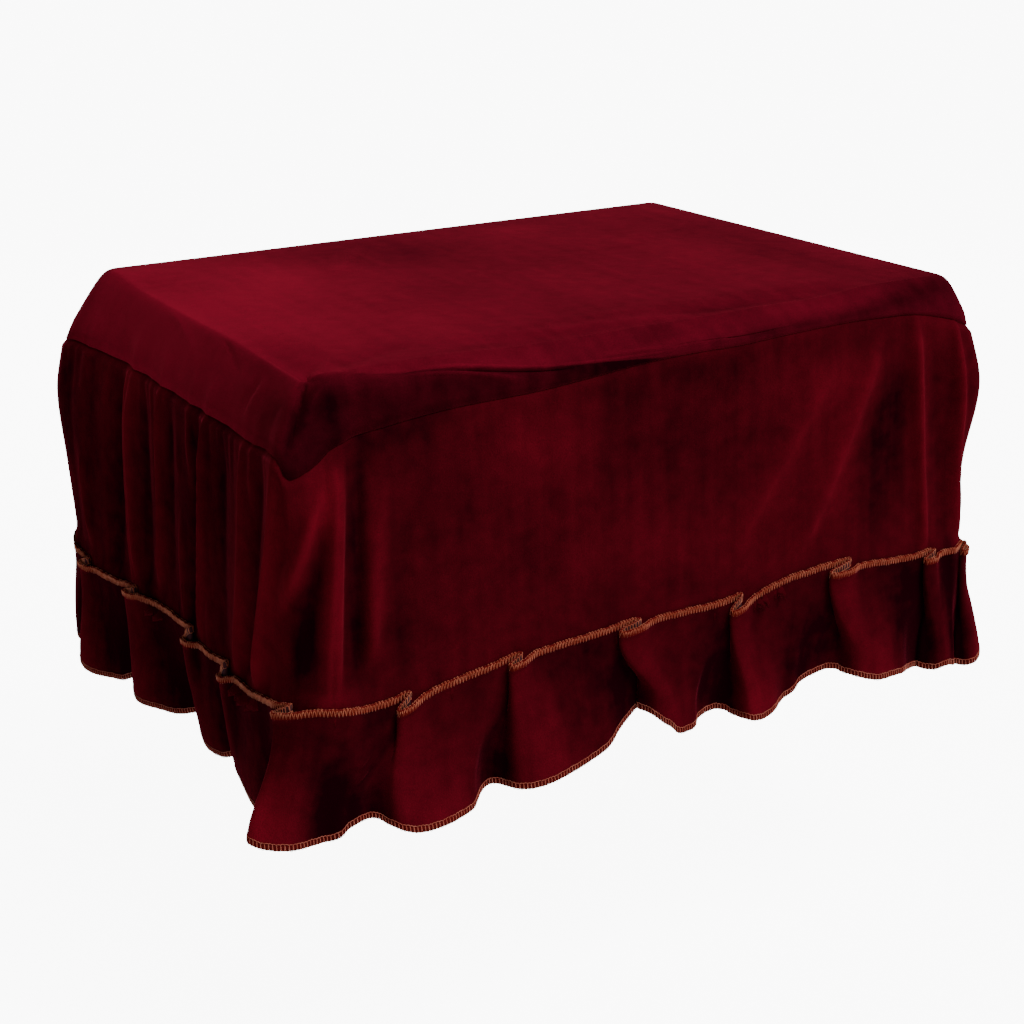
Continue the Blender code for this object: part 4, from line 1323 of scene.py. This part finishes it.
# %% [markdown]
# ## Thickness
#
# The sheets are surfaces so far. A Solidify modifier gives them the thickness of velvet, half to each
# side, and closes their edges. Its inner face gets the second material slot, because the back of velvet is
# a plain knitted ground with no pile.

# %% Give the cloth its thickness
for sheet in (panel, skirt, ruffle):
    body = sheet.modifiers.new("cloth", "SOLIDIFY")
    body.thickness = THIN_CLOTH * MM
    body.offset = 0
    body.use_even_offset = False
    body.material_offset = 1
print("cloth thickness:", THIN_CLOTH, "mm")

# %% [markdown]
# ## Helpers for shaders
#
# A shader is a tree of nodes. One function makes a node and fills its inputs, each with a link or with a
# plain value. The small ones after it name the nodes that are used again and again, so that a material
# reads like a recipe.

# %% Node helpers
def feed(tree, made, inputs):
    """Gives each named or numbered input of a node its link or its value."""
    for label, value in inputs.items():
        if isinstance(value, bpy.types.NodeSocket):
            tree.links.new(value, made.inputs[label])
        else:
            made.inputs[label].default_value = value


def node(tree, kind, inputs=(), **settings):
    made = tree.nodes.new(kind)
    for key, value in settings.items():
        setattr(made, key, value)
    feed(tree, made, dict(inputs))
    return made


def noise(tree, vector, scale, detail, stretch=(1, 1, 1)):
    """A noise texture at a scale per metre, stretched over the cloth."""
    mapping = node(tree, "ShaderNodeMapping", {"Vector": vector, "Scale": stretch})
    inputs = {"Vector": mapping.outputs["Vector"], "Scale": scale, "Detail": detail}
    return node(tree, "ShaderNodeTexNoise", inputs).outputs["Fac"]


def math_node(tree, operation, *values, clamp=False):
    return node(tree, "ShaderNodeMath", enumerate(values), operation=operation, use_clamp=clamp).outputs[0]


def weighed(tree, *parts):
    """The sum of some values, each times its weight."""
    total = 0.0
    for value, weight in parts:
        total = math_node(tree, "MULTIPLY_ADD", value, weight, total)
    return total


def rescale(tree, value, low, high, to_low, to_high):
    inputs = {"Value": value, "From Min": low, "From Max": high, "To Min": to_low, "To Max": to_high}
    return node(tree, "ShaderNodeMapRange", inputs).outputs["Result"]


def blend_colours(tree, share, a, b):
    return node(tree, "ShaderNodeMix", {0: share, 6: a, 7: b}, data_type="RGBA").outputs[2]


def relief(tree, height, distance):
    """Light and shade as on a surface whose height changes by a distance in metres."""
    inputs = {"Height": height, "Strength": 0.5, "Distance": distance}
    return node(tree, "ShaderNodeBump", inputs).outputs["Normal"]


def new_material(name, inputs):
    """A material with values for its Principled shader, and its tree and shader."""
    material = bpy.data.materials.new(name)
    material.use_nodes = True
    shader = material.node_tree.nodes["Principled BSDF"]
    feed(material.node_tree, shader, inputs)
    return material, material.node_tree, shader


helpers = (feed, node, noise, math_node, weighed, rescale, blend_colours, relief, new_material)
print("helpers:", [helper.__name__ for helper in helpers])

# %% [markdown]
# ## Velvet
#
# Velvet is dark where one looks into the pile and light where it lies down. The node group turns the number
# that each vertex carries into a colour between a deep and a light pile colour. That number holds the
# brushing of the pile together with painted light and shade. Noise at four scales makes it drift, as no pile
# lies even. It is a group because all three velvets use it.

# %% Brushed pile and painted light and shade as a node group
PATCH_SCALE = 10
MARK_SCALE = 90
GRAIN_SCALE = 1400
DOWN_THE_CLOTH = (1, 0.06, 1)
DRIFT_RANGE = (0.3, 0.7)
pile = bpy.data.node_groups.new("pile_with_painted_shade", "ShaderNodeTree")
for label, in_out, kind in (
    ("Cloth", "INPUT", "Vector"),
    ("Place", "INPUT", "Vector"),
    ("Nap_and_shade", "INPUT", "Float"),
    ("Deep", "INPUT", "Color"),
    ("Lightest", "INPUT", "Color"),
    ("Colour", "OUTPUT", "Color"),
    ("Roughness", "OUTPUT", "Float"),
    ("Height", "OUTPUT", "Float"),
):
    pile.interface.new_socket(label, in_out=in_out, socket_type="NodeSocket" + kind)
given = node(pile, "NodeGroupInput").outputs
patches = noise(pile, given["Place"], PATCH_SCALE, 3)
marks = noise(pile, given["Place"], MARK_SCALE, 5)
streaks = noise(pile, given["Cloth"], MARK_SCALE, 3, DOWN_THE_CLOTH)
grain = noise(pile, given["Place"], GRAIN_SCALE, 2)
drift = weighed(pile, (patches, 0.45), (marks, 0.3), (streaks, 0.25))
spread = rescale(pile, drift, *DRIFT_RANGE, -0.2, 0.2)
lightness = math_node(pile, "ADD", given["Nap_and_shade"], spread, clamp=True)
grainy = math_node(pile, "MULTIPLY", lightness, rescale(pile, grain, *DRIFT_RANGE, 0.75, 1.2), clamp=True)
results = {
    "Colour": blend_colours(pile, grainy, given["Deep"], given["Lightest"]),
    "Roughness": rescale(pile, drift, *DRIFT_RANGE, 0.95, 0.8),
    "Height": weighed(pile, (marks, 0.7), (grain, 0.3)),
}
node(pile, "NodeGroupOutput", results)
print("node group:", pile.name)

# %% [markdown]
# Each velvet is the group with two colours, plus sheen, which brightens the cloth where one looks across it,
# at the rim of every fold. The top is a little pinker than the walls, and the back of the cloth is dull.

# %% Velvet materials
# DEEP and the light pile colours are the two ends that the pile's brushing and the painted light and shade
# mix between.
DEEP = (0.012, 0.0005, 0.0022, 1)
LIGHT_PILE = (0.21, 0.007, 0.016, 1)
LIGHT_PILE_TOP = (0.215, 0.0075, 0.021, 1)
SHEEN_TINT = (0.9, 0.06, 0.12, 1)
PILE_RELIEF = 0.0012


def velvet(name, light_colour, sheen):
    material, tree, shader = new_material(name, {"Specular IOR Level": 0.0, "Sheen Roughness": 0.3})
    inputs = {
        "Cloth": node(tree, "ShaderNodeUVMap", uv_map="cloth").outputs["UV"],
        "Place": node(tree, "ShaderNodeTexCoord").outputs["Object"],
        "Nap_and_shade": node(tree, "ShaderNodeAttribute", attribute_name="nap_and_shade").outputs["Fac"],
        "Deep": DEEP,
        "Lightest": light_colour,
    }
    pile_here = node(tree, "ShaderNodeGroup", inputs, node_tree=pile).outputs
    looks = {
        "Base Color": pile_here["Colour"],
        "Roughness": pile_here["Roughness"],
        "Normal": relief(tree, pile_here["Height"], PILE_RELIEF),
        "Sheen Weight": sheen,
        "Sheen Tint": SHEEN_TINT,
    }
    feed(tree, shader, looks)
    return material


backing = new_material("velvet_back", {"Base Color": (0.05, 0.002, 0.008, 1), "Roughness": 0.95})[0]
for piece, name, colour, sheen in (
    (panel, "velvet_top", LIGHT_PILE_TOP, 0.2),
    (skirt, "velvet_skirt", LIGHT_PILE, 0.3),
    (ruffle, "velvet_ruffle", LIGHT_PILE, 0.3),
):
    piece.data.materials.append(velvet(name, colour, sheen))
    piece.data.materials.append(backing)
    print(piece.name, "is", name)

# %% [markdown]
# The cloth under the overlock is covered by a haze of fine looper filaments, so its colour changes to a deep
# orange red there. The flat cloth's own coordinates say where: the header is the first few millimetres of
# the strip, and the hem is the last few.

# %% Colour of the bound edges
BOUND_CLOTH = (0.11, 0.007, 0.006, 1)
BOUND_AT_HEADER = (0.0046, 0.0052)
BOUND_AT_HEM = (STRIP_HEIGHT - 0.0050, STRIP_HEIGHT - 0.0044)
HAZE_AT_HEM = 0.7

ruffle_tree = ruffle.data.materials[0].node_tree
ruffle_shader = ruffle_tree.nodes["Principled BSDF"]
cloth = node(ruffle_tree, "ShaderNodeUVMap", uv_map="cloth").outputs["UV"]
down_strip = node(ruffle_tree, "ShaderNodeSeparateXYZ", {"Vector": cloth}).outputs["Y"]
at_header = rescale(ruffle_tree, down_strip, *BOUND_AT_HEADER, 1.0, 0.0)
at_hem = rescale(ruffle_tree, down_strip, *BOUND_AT_HEM, 0.0, HAZE_AT_HEM)
bound_share = math_node(ruffle_tree, "ADD", at_header, at_hem, clamp=True)
velvet_colour = ruffle_shader.inputs["Base Color"].links[0].from_socket
bound_colour = blend_colours(ruffle_tree, bound_share, velvet_colour, BOUND_CLOTH)
feed(ruffle_tree, ruffle_shader, {"Base Color": bound_colour})
print("the header is bound for", round(BOUND_AT_HEADER[0] / MM, 1), "mm")

# %% [markdown]
# The thread is spun of two plies, which show as a twist of fine ridges, and its colour wanders along its
# length. The thread of the header is the lighter one.

# %% Colour of the threads
TWIST = (120, 0.32, 1)
TWIST_RELIEF = 0.0002
THREAD_COLOURS = (
    (header_thread, "header_thread", (0.48, 0.09, 0.035, 1), (0.68, 0.2, 0.1, 1)),
    (hem_thread, "hem_thread", (0.4, 0.065, 0.035, 1), (0.56, 0.16, 0.1, 1)),
)

for thread, name, dark, light in THREAD_COLOURS:
    looks = {"Roughness": 0.6, "Specular IOR Level": 0.3, "Sheen Weight": 0.1}
    material, tree, shader = new_material(name, looks)
    along = node(tree, "ShaderNodeUVMap", uv_map="cloth").outputs["UV"]
    slant = node(tree, "ShaderNodeMapping", {"Vector": along, "Scale": TWIST}).outputs["Vector"]
    waved = {"Vector": slant, "Scale": 1.0}
    twist = node(tree, "ShaderNodeTexWave", waved, wave_profile="SIN", bands_direction="DIAGONAL")
    wander = noise(tree, node(tree, "ShaderNodeTexCoord").outputs["Object"], 180, 2)
    share = rescale(tree, wander, 0.35, 0.65, 0.0, 1.0)
    looks = {"Base Color": blend_colours(tree, share, dark, light)}
    looks["Normal"] = relief(tree, twist.outputs["Fac"], TWIST_RELIEF)
    feed(tree, shader, looks)
    thread.data.materials.append(material)
    print("thread colour:", name)

# %% [markdown]
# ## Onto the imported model
#
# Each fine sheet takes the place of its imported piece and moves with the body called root. The threads ride
# along with it, and stand for no piece of their own.

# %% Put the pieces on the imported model
for piece, cad_node in ((panel, "top_panel"), (skirt, "skirt"), (ruffle, "ruffle")):
    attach(piece, "root")
    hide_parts(cad_node)

for thread in (header_thread, hem_thread):
    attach(thread, "root")
print("pieces on the model: 3 sheets and 2 bound edges")

# %% [markdown]


# %% [markdown]
# ## Floor and light
#
# The cover floats above a white floor that glows for the camera only, so it stays white without lighting the
# cloth. From below the floor is see-through, so that the empty inside can be looked at.

# %% Floor
CAMERA_GLOW = 9.0
FLOOR_SIZE = 60
FLOOR_LEVEL = -0.48
bpy.ops.mesh.primitive_plane_add(size=FLOOR_SIZE, location=(0, 0, FLOOR_LEVEL))
floor = bpy.context.object
floor.name = "floor"
floor_looks = {"Roughness": 0.9, "Base Color": (0.85, 0.85, 0.85, 1), "Emission Color": (1, 1, 1, 1)}
floor_finish, floor_tree, floor_shader = new_material("pale_floor", floor_looks)
by_camera = node(floor_tree, "ShaderNodeLightPath").outputs["Is Camera Ray"]
from_below = node(floor_tree, "ShaderNodeNewGeometry").outputs["Backfacing"]
floor_looks = {
    "Emission Strength": math_node(floor_tree, "MULTIPLY", by_camera, CAMERA_GLOW),
    "Alpha": math_node(floor_tree, "SUBTRACT", 1.0, from_below),
}
feed(floor_tree, floor_shader, floor_looks)
floor.data.materials.append(floor_finish)
print("floor at", floor.location.z, "m")

# %% [markdown]
# A wide soft sun from the front right gives the top its even light. Two square lamps stand low at the right,
# one in front and one behind: they graze the walls, which brings out the folds. The world behind
# everything is white for the camera and dim for the cloth, as velvet needs dark around it to look deep.

# %% Lamps and world
def add_lamp(name, kind, place, towards, **settings):
    data = bpy.data.lights.new(name, kind)
    for key, value in settings.items():
        setattr(data, key, value)
    lamp = add_object(name, data)
    lamp.location = place
    lamp.rotation_euler = (Vector(towards) - Vector(place)).to_track_quat("-Z", "Y").to_euler()
    print("lamp:", name, data.energy)


add_lamp("sky_panel", "SUN", (0, 0, 0), (-0.3, 0.4, -1.0), energy=2.9, angle=math.radians(30))
SQUARE = {"shape": "SQUARE", "size": 0.9}
add_lamp("front_right", "AREA", (1.6, -1.7, 0.6), (0, 0, -0.1), energy=12, **SQUARE)
add_lamp("back_right", "AREA", (1.2, 2.1, 0.4), (0, 0, -0.15), energy=26, **SQUARE)

WORLD_LIGHT = 0.1
world = bpy.data.worlds.new("studio")
world.use_nodes = True
by_camera = node(world.node_tree, "ShaderNodeLightPath").outputs["Is Camera Ray"]
sky = {
    "Color": (0.9, 0.9, 0.92, 1),
    "Strength": rescale(world.node_tree, by_camera, 0.0, 1.0, WORLD_LIGHT, CAMERA_GLOW),
}
feed(world.node_tree, world.node_tree.nodes["Background"], sky)
bpy.context.scene.world = world
